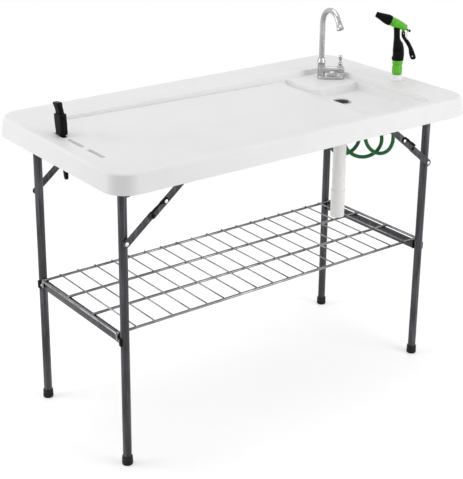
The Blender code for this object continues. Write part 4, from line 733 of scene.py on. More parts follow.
@dataclass
class Studio(Assembly):
    """The camera, the pale floor and the soft lights."""

    camera_place: Point3 = (-1.88229, -2.44061, 1.7238)
    yaw: float = 37.239
    pitch: float = 19.534
    roll: float = 0.627
    lens: float = 89.97
    shift_y: float = -0.1480
    floor_size: float = 6.0
    floor_place: Point3 = (0.0, 0.0, -0.0006)
    floor_colour: Area = (0.80, 0.80, 0.80, 1.0)
    floor_glow: float = 0.42
    shaded: Point = (0.9, 1.7)
    plain_light: float = 0.47
    lamps: tuple[tuple[str, Point3, float, float], ...] = (
        ("overhead", (0.2, 0.5, 3.6), 3.0, 36.0), ("left", (-3.0, 1.5, 1.2), 2.0, 46.0),
        ("right", (1.5, -3.0, 1.2), 2.0, 50.0))
    lit_place: Point3 = (0.0, 0.0, 0.55)

    def build(self) -> None:
        """Sets up the whole studio."""
        self.add_camera()
        self.add_world()
        self.add_floor()
        for lamp in self.lamps:
            self.add_lamp(*lamp)
        bpy.context.scene.view_settings.view_transform = "Standard"

    def add_camera(self) -> None:
        """Stands the camera at the photograph's viewpoint."""
        yaw, pitch, roll = radians(self.yaw), radians(self.pitch), radians(self.roll)
        ahead = Vector((sin(yaw) * cos(pitch), cos(yaw) * cos(pitch), -sin(pitch)))
        level = Vector((cos(yaw), -sin(yaw), 0.0))
        right = cos(roll) * level + sin(roll) * level.cross(ahead)
        up = right.cross(ahead)
        data = bpy.data.cameras.new("camera")
        data.lens = self.lens
        data.shift_y = self.shift_y
        camera = bpy.data.objects.new("camera", data)
        bpy.context.scene.collection.objects.link(camera)
        turn = Matrix((right, up, -ahead)).transposed().to_4x4()
        camera.matrix_world = Matrix.Translation(self.camera_place) @ turn
        bpy.context.scene.camera = camera

    def seen(self, nodes: Nodes) -> Socket:
        """Adds nodes that give one for camera, glossy and transmission rays, and zero for others."""
        camera, glossy, through = (nodes.add("LightPath", {}, f"Is {kind} Ray")
                                   for kind in ("Camera", "Glossy", "Transmission"))
        return nodes.maths("MAXIMUM", nodes.maths("MAXIMUM", camera, glossy), through)

    def add_world(self) -> None:
        """Shows a white background and lights the scene evenly at a plain level."""
        world = bpy.data.worlds.new("studio")
        bpy.context.scene.world = world
        world.use_nodes = True
        nodes = Nodes(world.node_tree)
        lit = nodes.tree.nodes["Background"]
        nodes.fill(lit, {"Color": WHITE_LIGHT, "Strength": self.plain_light})
        shown = nodes.add("Background", {"Color": WHITE_LIGHT, "Strength": 1.0})
        mix = nodes.add("MixShader", {0: self.seen(nodes), 1: lit.outputs[0], 2: shown})
        nodes.fill(nodes.tree.nodes["World Output"], {"Surface": mix})

    def add_floor(self) -> None:
        """Lays a pale floor that melts into the background and keeps a faint shadow."""
        self.bench.clear()
        bpy.ops.mesh.primitive_circle_add(vertices=96, radius=self.floor_size / 2, fill_type="NGON",
                                          location=self.floor_place)
        floor = bpy.context.object
        floor.name = "studio_floor"
        self.bench.settle(floor)
        material = bpy.data.materials.new("pale_floor")
        material.use_nodes = True
        nodes = Nodes(material.node_tree)
        shader, seen = nodes.tree.nodes["Principled BSDF"], self.seen(nodes)
        nodes.fill(shader, {"Base Color": self.floor_colour, "Roughness": 0.9, "Specular IOR Level": 0.0})
        glow = nodes.add("Emission", {"Strength": nodes.maths("MULTIPLY", seen, self.floor_glow)})
        near = nodes.add("AddShader", {0: shader.outputs[0], 1: glow})
        far = nodes.add("Emission", {"Strength": nodes.ranged(seen, 0.0, 1.0, self.plain_light)})
        distance = nodes.add("VectorMath", {0: nodes.add("TexCoord", {}, "Object")}, "Value",
                             operation="LENGTH")
        limits = {"From Min": self.shaded[0], "From Max": self.shaded[1]}
        share = nodes.add("MapRange", {**limits, "Value": distance}, interpolation_type="SMOOTHSTEP")
        nodes.fill(nodes.tree.nodes["Material Output"],
                   {"Surface": nodes.add("MixShader", {0: share, 1: near, 2: far})})
        floor.data.materials.append(material)

    def add_lamp(self, name: str, place: Point3, size: float, power: float) -> None:
        """Hangs a soft square lamp that faces the table."""
        data = bpy.data.lights.new(name, "AREA")
        data.size = size
        data.energy = power
        lamp = bpy.data.objects.new(name, data)
        bpy.context.scene.collection.objects.link(lamp)
        facing = (Vector(self.lit_place) - Vector(place)).to_track_quat("-Z", "Y")
        lamp.matrix_world = Matrix.Translation(place) @ facing.to_matrix().to_4x4()


@dataclass
class CoilHose(Assembly):
    """The green curly hose between the tap's adapter and the sprayer's connector."""

    radius: float = 0.0056
    length: float = 0.950
    turns: float = 2.5
    turn_points: int = 20
    curl_radius: float = 0.041
    curl_height: float = 0.045
    end_share: float = 0.48
    curl_start: float = 0.628
    fall: float = 0.026
    sag: float = 0.006
    flattening: float = 0.2
    tap_turn: float = -38.0
    straight_points: tuple[int, int] = (8, 6)
    socket: Point3 = (0.526, -0.057, 0.8287)
    adapter: Point3 = (0.420, 0.103, 0.7271)
    still_from: Point3 = (0.526, -0.057, 0.660)
    moving_from: Point3 = (0.5624, -0.112, 0.792)

    def route(self) -> list[Vector]:
        """Works out the hose's points, from the socket through its loops up to the adapter."""
        start, end = Vector(self.socket), Vector(self.adapter)
        falling, rising = self.straight_points
        angle = radians(self.tap_turn)
        across, depth = Vector((cos(angle), sin(angle), 0)), Vector((-sin(angle), cos(angle), 0))
        span, recede = (end - start).dot(across), (end - start).dot(depth)
        end_radius = self.curl_radius * self.end_share
        points = [start + Vector((0, 0, (self.curl_start - start.z) * n / falling)) for n in range(falling)]
        steps = round(self.turns * self.turn_points)
        for n in range(steps + 1):
            share = n / steps
            turn = 2 * pi * self.turns * share
            middle_out, sag = (2 * share - 1) ** 2, self.sag * sin(pi * share)
            radius = self.curl_radius - (self.curl_radius - end_radius) * middle_out
            tall = self.curl_height * (1 - self.flattening * middle_out)
            middle = -end_radius + (span + 2 * end_radius) * share + sag
            height = self.curl_start - self.fall * share - sag
            points.append(Vector((start.x, start.y, 0)) + across * (middle + radius * cos(turn))
                          + depth * recede * share + Vector((0, 0, height - tall * sin(turn))))
        foot = points[-1].z
        return points + [Vector((end.x, end.y, foot + (end.z - foot) * n / rising))
                         for n in range(1, rising + 1)]

    def build(self) -> None:
        """Makes the hose as one smooth tube."""
        points = self.route()
        line = smoothed(points, 3)
        hose = self.bench.tube("coil_hose_tube", line, self.radius, 5)
        hose.data.materials.clear()
        hose.data.materials.append(HOSE_GREEN.build())
        self.bench.smooth(hose, 60.0)
        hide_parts("coil_hose")
        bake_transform(hose)
        LOG.info("coil_hose_tube runs from the adapter to the sprayer")


@dataclass
class TableTop(Assembly):
    """The moulded white top with its sunk work surface, basin, ledge and knife slots."""

    draft: float = 0.006
    corner: float = 0.060
    edge: float = 0.007
    rim_left: float = 0.104
    rim_right: float = 0.112
    rim_front: float = 0.027
    rim_back: float = 0.126
    recess_corner: float = 0.030
    recess_depths: Point = (0.004, 0.016)
    basin_length: float = 0.208
    basin_depth: float = 0.040
    basin_slope: float = 0.058
    basin_corner: float = 0.026
    ledge: Point = (0.160, 0.140)
    channel: Point = (0.011, 0.006)
    wall: float = 0.006
    slot_width: float = 0.0125
    slot_x: float = -0.523
    slot_places: tuple[Point, ...] = ((-0.126, 0.074), (-0.030, 0.074), (0.045, 0.052))
    slot_lip: float = 0.0016
    slot_depth: float = 0.018
    slot_wall: float = 0.0025
    lip: float = 0.0022
    floor_fillet: float = 0.0014
    basin_fillet: float = 0.006
    ledge_edge: float = 0.0045
    ledge_corner: float = 0.034
    ledge_draft: Point = (0.0055, 0.0008)
    edge_flare: float = 0.0016
    keeper_edge: float = 0.003
    pocket_edge: float = 0.004
    rib_thickness: float = 0.005
    rib_foot: float = 0.0075
    rib_places: Point3 = (-0.428, -0.129, 0.170)
    boss_places: Point3 = (0.030, 0.285, 0.540)
    boss_half: float = 0.020
    boss_width: float = 0.018
    bores: tuple[tuple[str, float], ...] = (("tap_locknut", 0.0107), ("sprayer_socket", 0.0146))

    def __post_init__(self) -> None:
        """Reads the top's box and works out its main lines."""
        self.low, self.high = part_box("tabletop")
        self.over = self.high.z + 2 * CUT_PAST
        self.top_x, self.top_y = self.high.x - self.draft, self.high.y - self.draft
        self.x0, self.x1 = self.rim_left - self.top_x, self.top_x - self.rim_right
        self.y0, self.y1 = self.rim_front - self.top_y, self.top_y - self.rim_back
        self.sunk = (self.x0, self.x1, self.y0, self.y1)
        self.work_end = self.x1 - self.basin_length
        self.ledge_z = self.high.z - self.recess_depths[1]
        self.basin_z = self.high.z - self.basin_depth

    def span(self, height: float, x0: float, x1: float, y0: float, y1: float, grow: float = 0.0) -> Ring:
        """Returns the ring of a rectangle at a height, grown on all sides."""
        return Ring(height, x1 - x0 + 2 * grow, y1 - y0 + 2 * grow, (x0 + x1) / 2, (y0 + y1) / 2)

    def levels(self, area: Area, heights: Sequence[Point]) -> list[Ring]:
        """Returns a rectangle's rings from pairs of their height and how much they are grown."""
        return [self.span(height, *area, grow=grow) for height, grow in heights]

    def mouth(self, area: Area, high: float, lip: float, steps: int, past: float) -> list[Ring]:
        """Gives the rings of a hollow's rounded mouth.

        Args:
            area: The hollow's rectangle, x0, x1, y0, y1.
            high: The height of the surface around it.
            lip: The radius of its edge.
            steps: The steps in the edge's arc.
            past: How far the last ring lies over the surface.

        Returns:
            The rings from the arc's foot to over the surface.
        """
        rings = [self.span(high - lip * (1 - sine), *area, grow=lip * (1 - cosine))
                 for sine, cosine in quarter(steps, 1)]
        return [self.span(high - lip, *area), *rings, self.span(high + past, *area, grow=lip)]

    def flared(self, foot: Area, head: Area, low: float, high: float, fillet: float) -> list[Ring]:
        """Gives a hollow's rings: a rounded floor edge, drafted walls and a rounded rim.

        Args:
            foot: The rectangle at the floor, x0, x1, y0, y1.
            head: The rectangle at the rim.
            low: The floor's height.
            high: The rim's height.
            fillet: The radius at the floor.

        Returns:
            The rings from the floor to past the rim.
        """
        rings = [self.span(low + fillet * (1 - cosine), *foot, grow=-fillet * (1 - sine))
                 for sine, cosine in quarter(4)]
        return rings + self.mouth(head, high, self.lip, 4, 2 * CUT_PAST)
    def floor_at(self, x: float) -> float:
        """Returns how deep the work surface lies under the rim at a place along it."""
        share = min(1.0, max(0.0, (x - self.x0) / (self.work_end - self.x0)))
        return self.recess_depths[0] + (self.recess_depths[1] - self.recess_depths[0]) * share

    def sloped(self, obj: Piece, under: float) -> Piece:
        """Slopes the foot of a cutter like the work surface.

        Args:
            obj: The cutter, whose foot is at the deep end's height.
            under: The height under which points move.

        Returns:
            The cutter with its foot sloped.
        """
        self.bench.pick(obj)
        bpy.ops.object.mode_set(mode="EDIT")
        for x in (self.x0 + self.recess_corner, self.work_end):
            bpy.ops.mesh.select_all(action="SELECT")
            bpy.ops.mesh.bisect(plane_co=(x, 0, 0), plane_no=(1, 0, 0))
        bpy.ops.object.mode_set(mode="OBJECT")
        for vertex in obj.data.vertices:
            if vertex.co.z < under:
                vertex.co.z += self.recess_depths[1] - self.floor_at(vertex.co.x)
        return obj

    def outer(self) -> Piece:
        """Makes the outer form with its drafted skirt and rounded top edge."""
        full = 2 * self.high.x, 2 * self.high.y
        flat = 2 * self.top_x + self.edge_flare, 2 * self.top_y + self.edge_flare
        rings = [Ring(self.low.z, full[0] - 0.001, full[1] - 0.001), Ring(self.low.z + 0.0006, *full)]
        return self.bench.stack("tabletop_shell", rings + rounded_top(self.high.z, flat, self.edge, 8),
                                corner=self.corner, steps=16)

    def recess(self) -> Piece:
        """Makes the hollow over the sunk work surface."""
        foot = tuple(a + b for a, b in zip(self.sunk, (0.002, -0.002, 0.002, -0.002)))
        rings = self.flared(foot, self.sunk, self.ledge_z, self.high.z, self.floor_fillet)
        return self.sloped(self.bench.stack("recess_cutter", rings, corner=self.recess_corner, steps=12),
                           self.high.z - 0.0075)

    def groove(self) -> Piece:
        """Makes the drain channel along the back of the work surface."""
        width, depth = self.channel
        back, deep = self.y1 - 0.005, self.ledge_z
        area = (self.x0 + self.recess_corner, self.work_end + 0.03, back - width, back)
        rings = self.levels(area, ((deep - depth, -0.003), (deep - depth + 0.0010, -0.0012),
                                   (deep - depth + 0.0030, 0.0), (deep + 0.0004, 0.0),
                                   (self.high.z - 0.002, 0.0002)))
        return self.sloped(self.bench.stack("channel_cutter", rings, corner=0.003, steps=4),
                           self.high.z - 0.004)

    def basin(self) -> Piece:
        """Makes the basin's hollow, with the tap's ledge left standing."""
        head = (self.work_end, self.x1 - 0.004, self.y0 + 0.004, self.y1 - 0.005)
        foot = (self.work_end + self.basin_slope, self.x1 - 0.008, self.y0 + 0.008, self.y1 - 0.005)
        rings = self.flared(foot, head, self.basin_z, self.ledge_z, self.basin_fillet)
        basin = self.bench.stack("basin_cutter", rings, corner=self.basin_corner, steps=10)
        area = (self.x1 - self.ledge[0], self.x1 + 0.06, self.y1 - self.ledge[1], self.y1 + 0.06)
        edge, (low_draft, high_draft) = self.ledge_edge, self.ledge_draft
        rings = [self.span(self.ledge_z - edge * (1 - sine), *area, high_draft - edge * (1 - cosine))
                 for sine, cosine in quarter(5)]
        rings = [self.span(self.basin_z - CUT_PAST, *area, low_draft), *rings,
                 self.span(self.high.z + 0.05, *area, high_draft - edge)]
        ledge = self.bench.stack("ledge_keeper", rings, corner=self.ledge_corner, steps=10)
        return self.bench.combine(basin, [ledge])

    def pocket(self) -> Piece:
        """Makes the hollow under the top, which leaves the sunk floors, ribs and bosses standing."""
        wall = self.wall
        whole = (-self.high.x, self.high.x, -self.high.y, self.high.y)
        ceiling, drafted = self.high.z - wall, -wall - self.draft
        rings = self.levels(whole, ((self.low.z - CUT_PAST, -wall), (ceiling - self.pocket_edge, drafted),
                                    (ceiling, drafted - self.pocket_edge)))
        hollow = self.bench.stack("pocket_cutter", rings, corner=self.corner - wall, steps=12)
        return self.bench.combine(hollow, [*self.floor_keepers(), self.bosses(), *self.ribs(),
                                           *self.slot_keepers()])

    def floor_keepers(self) -> list[Piece]:
        """Makes the forms that leave a wall under the work surface, its channel and the basin."""
        wall, soft, over = self.wall, self.keeper_edge, self.over
        foot, sink_foot = self.ledge_z - wall, self.basin_z - wall
        back = self.y1 - 0.005 - self.channel[0] - wall
        gutter = (self.x0 + self.recess_corner - wall, self.work_end, back, self.y1 + wall / 2)
        sink = (self.work_end - wall, self.x1 + 1.5 * wall, self.y0 - 1.5 * wall, self.y1 + 1.5 * wall)
        deck_rings = self.levels(self.sunk, ((foot, wall - soft), (foot + soft, wall), (over, wall)))
        gutter_rings = self.levels(gutter, ((foot - self.channel[1], 0.0), (over, 0.0)))
        sink_rings = self.levels(sink, ((sink_foot, -soft), (sink_foot + soft, 0.0), (over, 0.0)))
        deck = self.bench.stack("deck_keeper", deck_rings, corner=self.recess_corner + wall - soft, steps=10)
        channel = self.bench.stack("gutter_keeper", gutter_rings, corner=0.002, steps=3)
        return [self.sloped(deck, self.ledge_z + 0.001), self.sloped(channel, self.ledge_z + 0.001),
                self.bench.stack("sink_keeper", sink_rings, corner=self.recess_corner, steps=8)]

    def ribs(self) -> list[Piece]:
        """Makes the cross ribs."""
        half = self.rib_thickness / 2
        return [self.bench.block("rib", (x - half, -self.high.y, self.low.z + self.rib_foot),
                                 (x + half, self.high.y, self.over)) for x in self.rib_places]

    def slot_keepers(self) -> list[Piece]:
        """Makes the collars round the knife slots."""
        keepers, wall = [], self.slot_wall
        for y, length in self.slot_places:
            rings = self.levels(self.slot_area(y, length),
                                ((self.high.z - self.slot_depth, wall), (self.over, wall)))
            keepers.append(self.bench.stack("slot_keeper", rings, corner=self.slot_width / 2, steps=6))
        return keepers

    def slot_area(self, y: float, length: float) -> Area:
        """Returns a slot's rectangle, x0, x1, y0, y1, from its middle and length."""
        half_x, half_y = self.slot_width / 2, length / 2
        return self.slot_x - half_x, self.slot_x + half_x, y - half_y, y + half_y

    def slots(self) -> list[Piece]:
        """Makes the three knife slots' cutters, with rounded mouths."""
        cutters, corner = [], self.slot_width / 2 - CLEARANCE
        for y, length in self.slot_places:
            area = self.slot_area(y, length)
            rings = [self.span(self.low.z - CUT_PAST, *area),
                     *self.mouth(area, self.high.z, self.slot_lip, 3, CUT_PAST)]
            cutters.append(self.bench.stack("slot_cutter", rings, corner=corner, steps=6))
        return cutters

    def bosses(self) -> Piece:
        """Makes the moulded bosses that the side rails hang from."""
        rail_low, rail_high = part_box("side_rail_back")
        pads = []
        for along, side, face in product(self.boss_places, Side, Face):
            x = side.value * along
            inner, outer = sorted((face.value * rail_low.y, face.value * (rail_low.y + self.boss_width)))
            pads.append(self.bench.block("boss", (x - self.boss_half, inner, rail_high.z + CLEARANCE),
                                         (x + self.boss_half, outer, self.over), 0.0012))
        return self.bench.join("bosses", pads)

    def holes(self) -> list[Piece]:
        """Makes the cutters of the stepped drain hole and of the two bores."""
        drain, seat = self.frame.middle("drain_strainer"), self.basin_z - 0.0022
        profile = [(0.0200, self.low.z - CUT_PAST), (0.0200, seat), (0.0278, seat),
                   (0.0278, self.basin_z + 0.0002), (0.0290, self.basin_z + CUT_PAST)]
        wanted = [("drain_cutter", drain, profile)]
        for node, radius in self.bores:
            profile = [(radius, self.low.z - 2 * CUT_PAST), (radius, self.high.z + CUT_PAST)]
            wanted.append(("bore_cutter", self.frame.middle(node), profile))
        return [self.bench.stack(name, [Ring(height, 2 * radius, 2 * radius, place.x, place.y)
                                        for radius, height in profile]) for name, place, profile in wanted]

    def build(self) -> None:
        """Cuts all hollows into the outer form and dresses the top."""
        cutters = [self.pocket(), self.recess(), self.groove(), self.basin(), *self.holes(), *self.slots()]
        shell = self.bench.face_out(self.bench.combine(self.outer(), cutters), 1e-6)
        self.dress(shell, "table", WHITE_POLYETHYLENE, "tabletop", angle=32.0)


@dataclass
class Undercarriage(Assembly):
    """The side rails, the folding leg frames with their feet, and the four braces."""

    leg_radius: float = LEG_RADIUS
    cap_height: float = 0.0240
    cross_radius: float = 0.0085
    link_width: float = 0.019
    link_thickness: float = 0.0025
    rivet_radius: float = 0.0055
    rivet_height: float = 0.0016
    catch_thickness: float = 0.002
    catch_length: float = 0.046
    rail_lip: float = 0.020
    tab_radius: float = 0.015
    leg_bore: float = 0.0093
    pin_bore: float = 0.0035
    leg_dome: float = 0.0025
    weld_sunk: float = 0.0025

    def build(self) -> None:
        """Builds everything that carries the top."""
        for face in Face:
            self.build_rail(face)
        for side in Side:
            self.build_leg_frame(side)
            for face in Face:
                self.build_foot(side, face)
                self.build_brace(side, face)

    def build_rail(self, face: Face) -> None:
        """Builds a side rail: a rolled angle with four round-ended tabs.

        Args:
            face: The long edge that it lies along.
        """
        node = f"side_rail_{face.label}"
        low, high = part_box(node)
        thick = self.link_thickness
        inner, outer = (low.y, high.y) if face is Face.BACK else (high.y, low.y)
        web_out = inner + face.value * thick
        flange = self.bench.block("flange", (low.x, min(inner, outer), high.z - thick),
                                  (high.x, max(inner, outer), high.z), 0.0006)
        lip_in = outer - face.value * thick
        lip = self.bench.block("lip", (low.x, min(lip_in, outer), high.z - self.rail_lip),
                               (high.x, max(lip_in, outer), high.z - 0.0004), 0.0006)
        pieces = [flange, lip]
        for side in Side:
            leg = self.frame.pivot(f"leg_fold_{side.label}")
            pin = self.frame.pivot(f"upper_link_turn_{face.label}_{side.label}")
            for place in (leg, pin):
                reach, top = self.tab_radius, high.z - place.z - 0.0004
                arc = [(reach * cos(pi + pi * n / 16), reach * sin(pi + pi * n / 16)) for n in range(17)]
                outline = [(reach, top), (-reach, top), *arc]
                bore = disc((0, 0), self.leg_bore if place is leg else self.pin_bore)
                tab = self.bench.plate("tab", [outline, bore], thick)
                middle = Vector((place.x, (inner + web_out) / 2, place.z))
                pieces.append(self.bench.put(tab, Matrix.Translation(middle) @ UPRIGHT))
        rail = self.bench.join(f"rail_{face.label}", pieces)
        self.dress(rail, "table", POWDER_COAT, node)

    def build_leg_frame(self, side: Side) -> None:
        """Builds two leg tubes and the cross tube that they are welded to.

        Args:
            side: The end of the table.
        """
        name = side.label
        node = f"leg_frame_{name}"
        low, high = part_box(node)
        pivot = self.frame.pivot(f"leg_fold_{name}")
        radius, edge = self.leg_radius, self.leg_dome
        profile = [(radius - 0.0006, low.z), (radius, low.z + 0.0006), (radius, high.z - edge)]
        profile += dome(radius, high.z - edge, edge)[1:]
        weld = [(0.0094, 0.0), (0.0110, 0.0008), (0.0112, 0.0022), (0.0100, 0.0036), (0.0088, 0.0052)]
        pieces = []
        for face in Face:
            leg_y = self.frame.middle(f"foot_cap_{face.label}_{name}").y
            leg = self.bench.lathe("leg", profile, 44)
            pieces.append(self.bench.put(leg, Matrix.Translation((pivot.x, leg_y, 0.0))))
            for way in (-1, 1):
                bead = self.bench.lathe("weld", weld, 32)
                turn = Matrix.Rotation(-way * pi / 2, 4, "X")
                place = Matrix.Translation((pivot.x, leg_y + way * (radius - self.weld_sunk), pivot.z))
                pieces.append(self.bench.put(bead, place @ turn))
        r = self.cross_radius
        half = high.y
        ends = [(r - 0.0022, 0.0), (r - 0.0008, 0.0006), (r, 0.0020), (r, 2 * half - 0.0020),
                (r - 0.0008, 2 * half - 0.0006), (r - 0.0022, 2 * half)]
        cross = self.bench.lathe("cross_tube", ends, 36)
        pieces.append(self.bench.put(cross, Matrix.Translation((pivot.x, -half, pivot.z)) @ ALONG_Y))
        frame = self.bench.join(f"leg_tubes_{name}", pieces)
        self.dress(frame, node, POWDER_COAT, node)

    def build_foot(self, side: Side, face: Face) -> None:
        """Builds the ribbed rubber cap on a leg's end.

        Args:
            side: The end of the table.
            face: The long edge.
        """
        node = f"foot_cap_{face.label}_{side.label}"
        low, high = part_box(node)
        middle, radius, top = (low + high) / 2, (high.x - low.x) / 2, self.cap_height
        profile = [(radius - 0.0022, 0.0), (radius - 0.0007, 0.0009), (radius, 0.0026), (radius, 0.0060)]
        for height in (0.0068, 0.0098):
            profile += [(radius - 0.0009, height), (radius - 0.0009, height + 0.0009),
                        (radius - 0.0001, height + 0.0014), (radius - 0.0002, height + 0.0028)]
        profile += [(radius - 0.0006, top - 0.0020), (radius - 0.0009, top - 0.0006), (radius - 0.0016, top)]
        profile += [(self.leg_radius + 0.0001, top), (self.leg_radius - 0.0004, top - 0.0015)]
        foot = self.bench.lathe(f"foot_{face.label}_{side.label}", profile, 44)
        self.bench.put(foot, Matrix.Translation((middle.x, middle.y, 0.0)))
        self.dress(foot, f"leg_frame_{side.label}", RUBBER, node)

    def rivet(self, name: str, place: Vector, plane: float, foot: float, head: float, face: Face,
              size: float = 1.0, collar: float = 0.0) -> Piece:
        """Makes a domed rivet across a brace.

        Args:
            name: The rivet's name.
            place: A point on its axis.
            plane: The Y place that foot and head are measured from, outwards.
            foot: Where its inner end lies.
            head: Where its domed head ends.
            face: The long edge of the brace.
            size: The share of the usual head radius.
            collar: Where a washer under the head ends, or zero for none.

        Returns:
            The rivet in place.
        """
        r, h = self.rivet_radius * size, self.rivet_height
        profile = [(0.0027, foot), (0.0030, foot + 0.0003)]
        if collar:
            profile = [(r - 0.0003, foot), (r, foot + 0.0003), (r, collar - 0.0002), (0.0030, collar)]
        profile += [(0.0030, head - h), (r - 0.0003, head - h), (r, head - h + 0.0004)]
        profile += dome(r, head - h * 0.62, h * 0.62, 5)[1:]
        rivet = self.bench.lathe(name, profile, 28)
        turn = Matrix.Rotation(-face.value * pi / 2, 4, "X")
        return self.bench.put(rivet, Matrix.Translation((place.x, plane, place.z)) @ turn)

    def link(self, name: str, start: Vector, end: Vector, plane: float) -> Piece:
        """Makes a brace link, upright in a plane."""
        width, thick = self.link_width, self.link_thickness
        reach = Vector((end.x - start.x, end.z - start.z))
        outline = capsule((0, 0), tuple(reach), width / 2, 20)
        bar = self.bench.plate(name, [outline], thick, 0.0007)
        place = Matrix.Translation((start.x, plane, start.z)) @ UPRIGHT
        return self.bench.put(bar, place)

    def build_brace(self, side: Side, face: Face) -> None:
        """Builds one folding brace: both links, their rivets and the black lock catch.

        Args:
            side: The end of the table.
            face: The long edge.
        """
        corner = f"{face.label}_{side.label}"
        foot, pin, stud = (self.frame.pivot(f"{joint}_turn_{corner}")
                           for joint in ("lower_link", "upper_link", "lock_catch"))
        half = self.link_thickness / 2
        heading = pin - foot
        heading.y = 0.0
        rise = self.frame.high(f"lower_link_{corner}").z - self.link_width / 2 - foot.z
        joint = foot + heading.normalized() * (rise / heading.normalized().z)
        lower, upper, catch = foot.y, pin.y, stud.y
        bar = self.link(f"lower_bar_{corner}", foot, joint, lower)
        self.dress(bar, f"lower_link_{corner}", POWDER_COAT, f"lower_link_{corner}")
        leg_out = abs(self.frame.middle(f"foot_cap_{corner}").y) + self.leg_radius
        inner = -(abs(lower) - leg_out) + CLEARANCE
        rivet = self.rivet(f"leg_rivet_{corner}", foot, lower, inner, half + self.rivet_height, face,
                           collar=-half + 0.0002)
        self.dress(rivet, f"lower_link_{corner}", BRIGHT_ZINC, f"lower_link_{corner}", angle=ROUND)
        bar = self.link(f"upper_bar_{corner}", pin, joint, upper)
        self.dress(bar, f"upper_link_{corner}", POWDER_COAT, f"upper_link_{corner}")
        head = half + 0.001 + self.link_thickness + 2 * CLEARANCE + self.rivet_height
        rail_pin = self.rivet(f"rail_pin_{corner}", pin, upper, 0.0, head, face)
        gap = abs(upper) - abs(lower) - 2 * half
        hinge = self.rivet(f"hinge_rivet_{corner}", joint, upper, -half - gap + CLEARANCE,
                           half + self.rivet_height, face, collar=-half + 0.0002)
        head = half + self.catch_thickness + 2 * CLEARANCE + self.rivet_height
        catch_stud = self.rivet(f"catch_stud_{corner}", stud, upper, 0.0, head, face, size=0.9)
        for part, finish in ((rail_pin, BRIGHT_ZINC), (hinge, BLACK_PLASTIC), (catch_stud, BRIGHT_ZINC)):
            self.dress(part, f"upper_link_{corner}", finish, f"upper_link_{corner}", angle=ROUND)
        self.build_catch(side, face, stud, heading.normalized(), catch)

    def build_catch(self, side: Side, face: Face, stud: Vector, heading: Vector, plane: float) -> None:
        """Builds the flat black catch that locks a straight brace.

        Args:
            side: The end of the table.
            face: The long edge.
            stud: The stud that it turns on.
            heading: The way up along the brace.
            plane: The Y place of its middle.
        """
        corner = f"{face.label}_{side.label}"
        edge, length = self.link_width / 2, self.catch_length
        rough = [(0.007, -0.004), (0.009, 0.003), (0.006, edge + 0.0015), (-0.012, edge + 0.003),
                 (-0.018, edge + 0.0015), (-length * 0.7, edge + 0.0035), (-length, edge + 0.0035),
                 (-length - 0.003, edge + 0.001), (-length + 0.001, edge - 0.003), (-0.016, edge - 0.004),
                 (-0.0075, 0.001), (-0.006, -0.005), (0.0, -0.0075)]
        across = Vector((-heading.z * -side.value, heading.x * -side.value))
        along = Vector((heading.x, heading.z))
        if across.y < 0:
            across = -across
        outline = [tuple(along * a + across * b) for a, b in rough]
        catch = self.bench.plate(f"catch_{corner}", [outline, disc((0, 0), self.pin_bore)],
                                 self.catch_thickness, 0.0005)
        place = Matrix.Translation((stud.x, plane, stud.z)) @ UPRIGHT
        self.bench.put(catch, place)
        self.dress(catch, f"lock_catch_{corner}", BLACK_PLASTIC, f"lock_catch_{corner}")


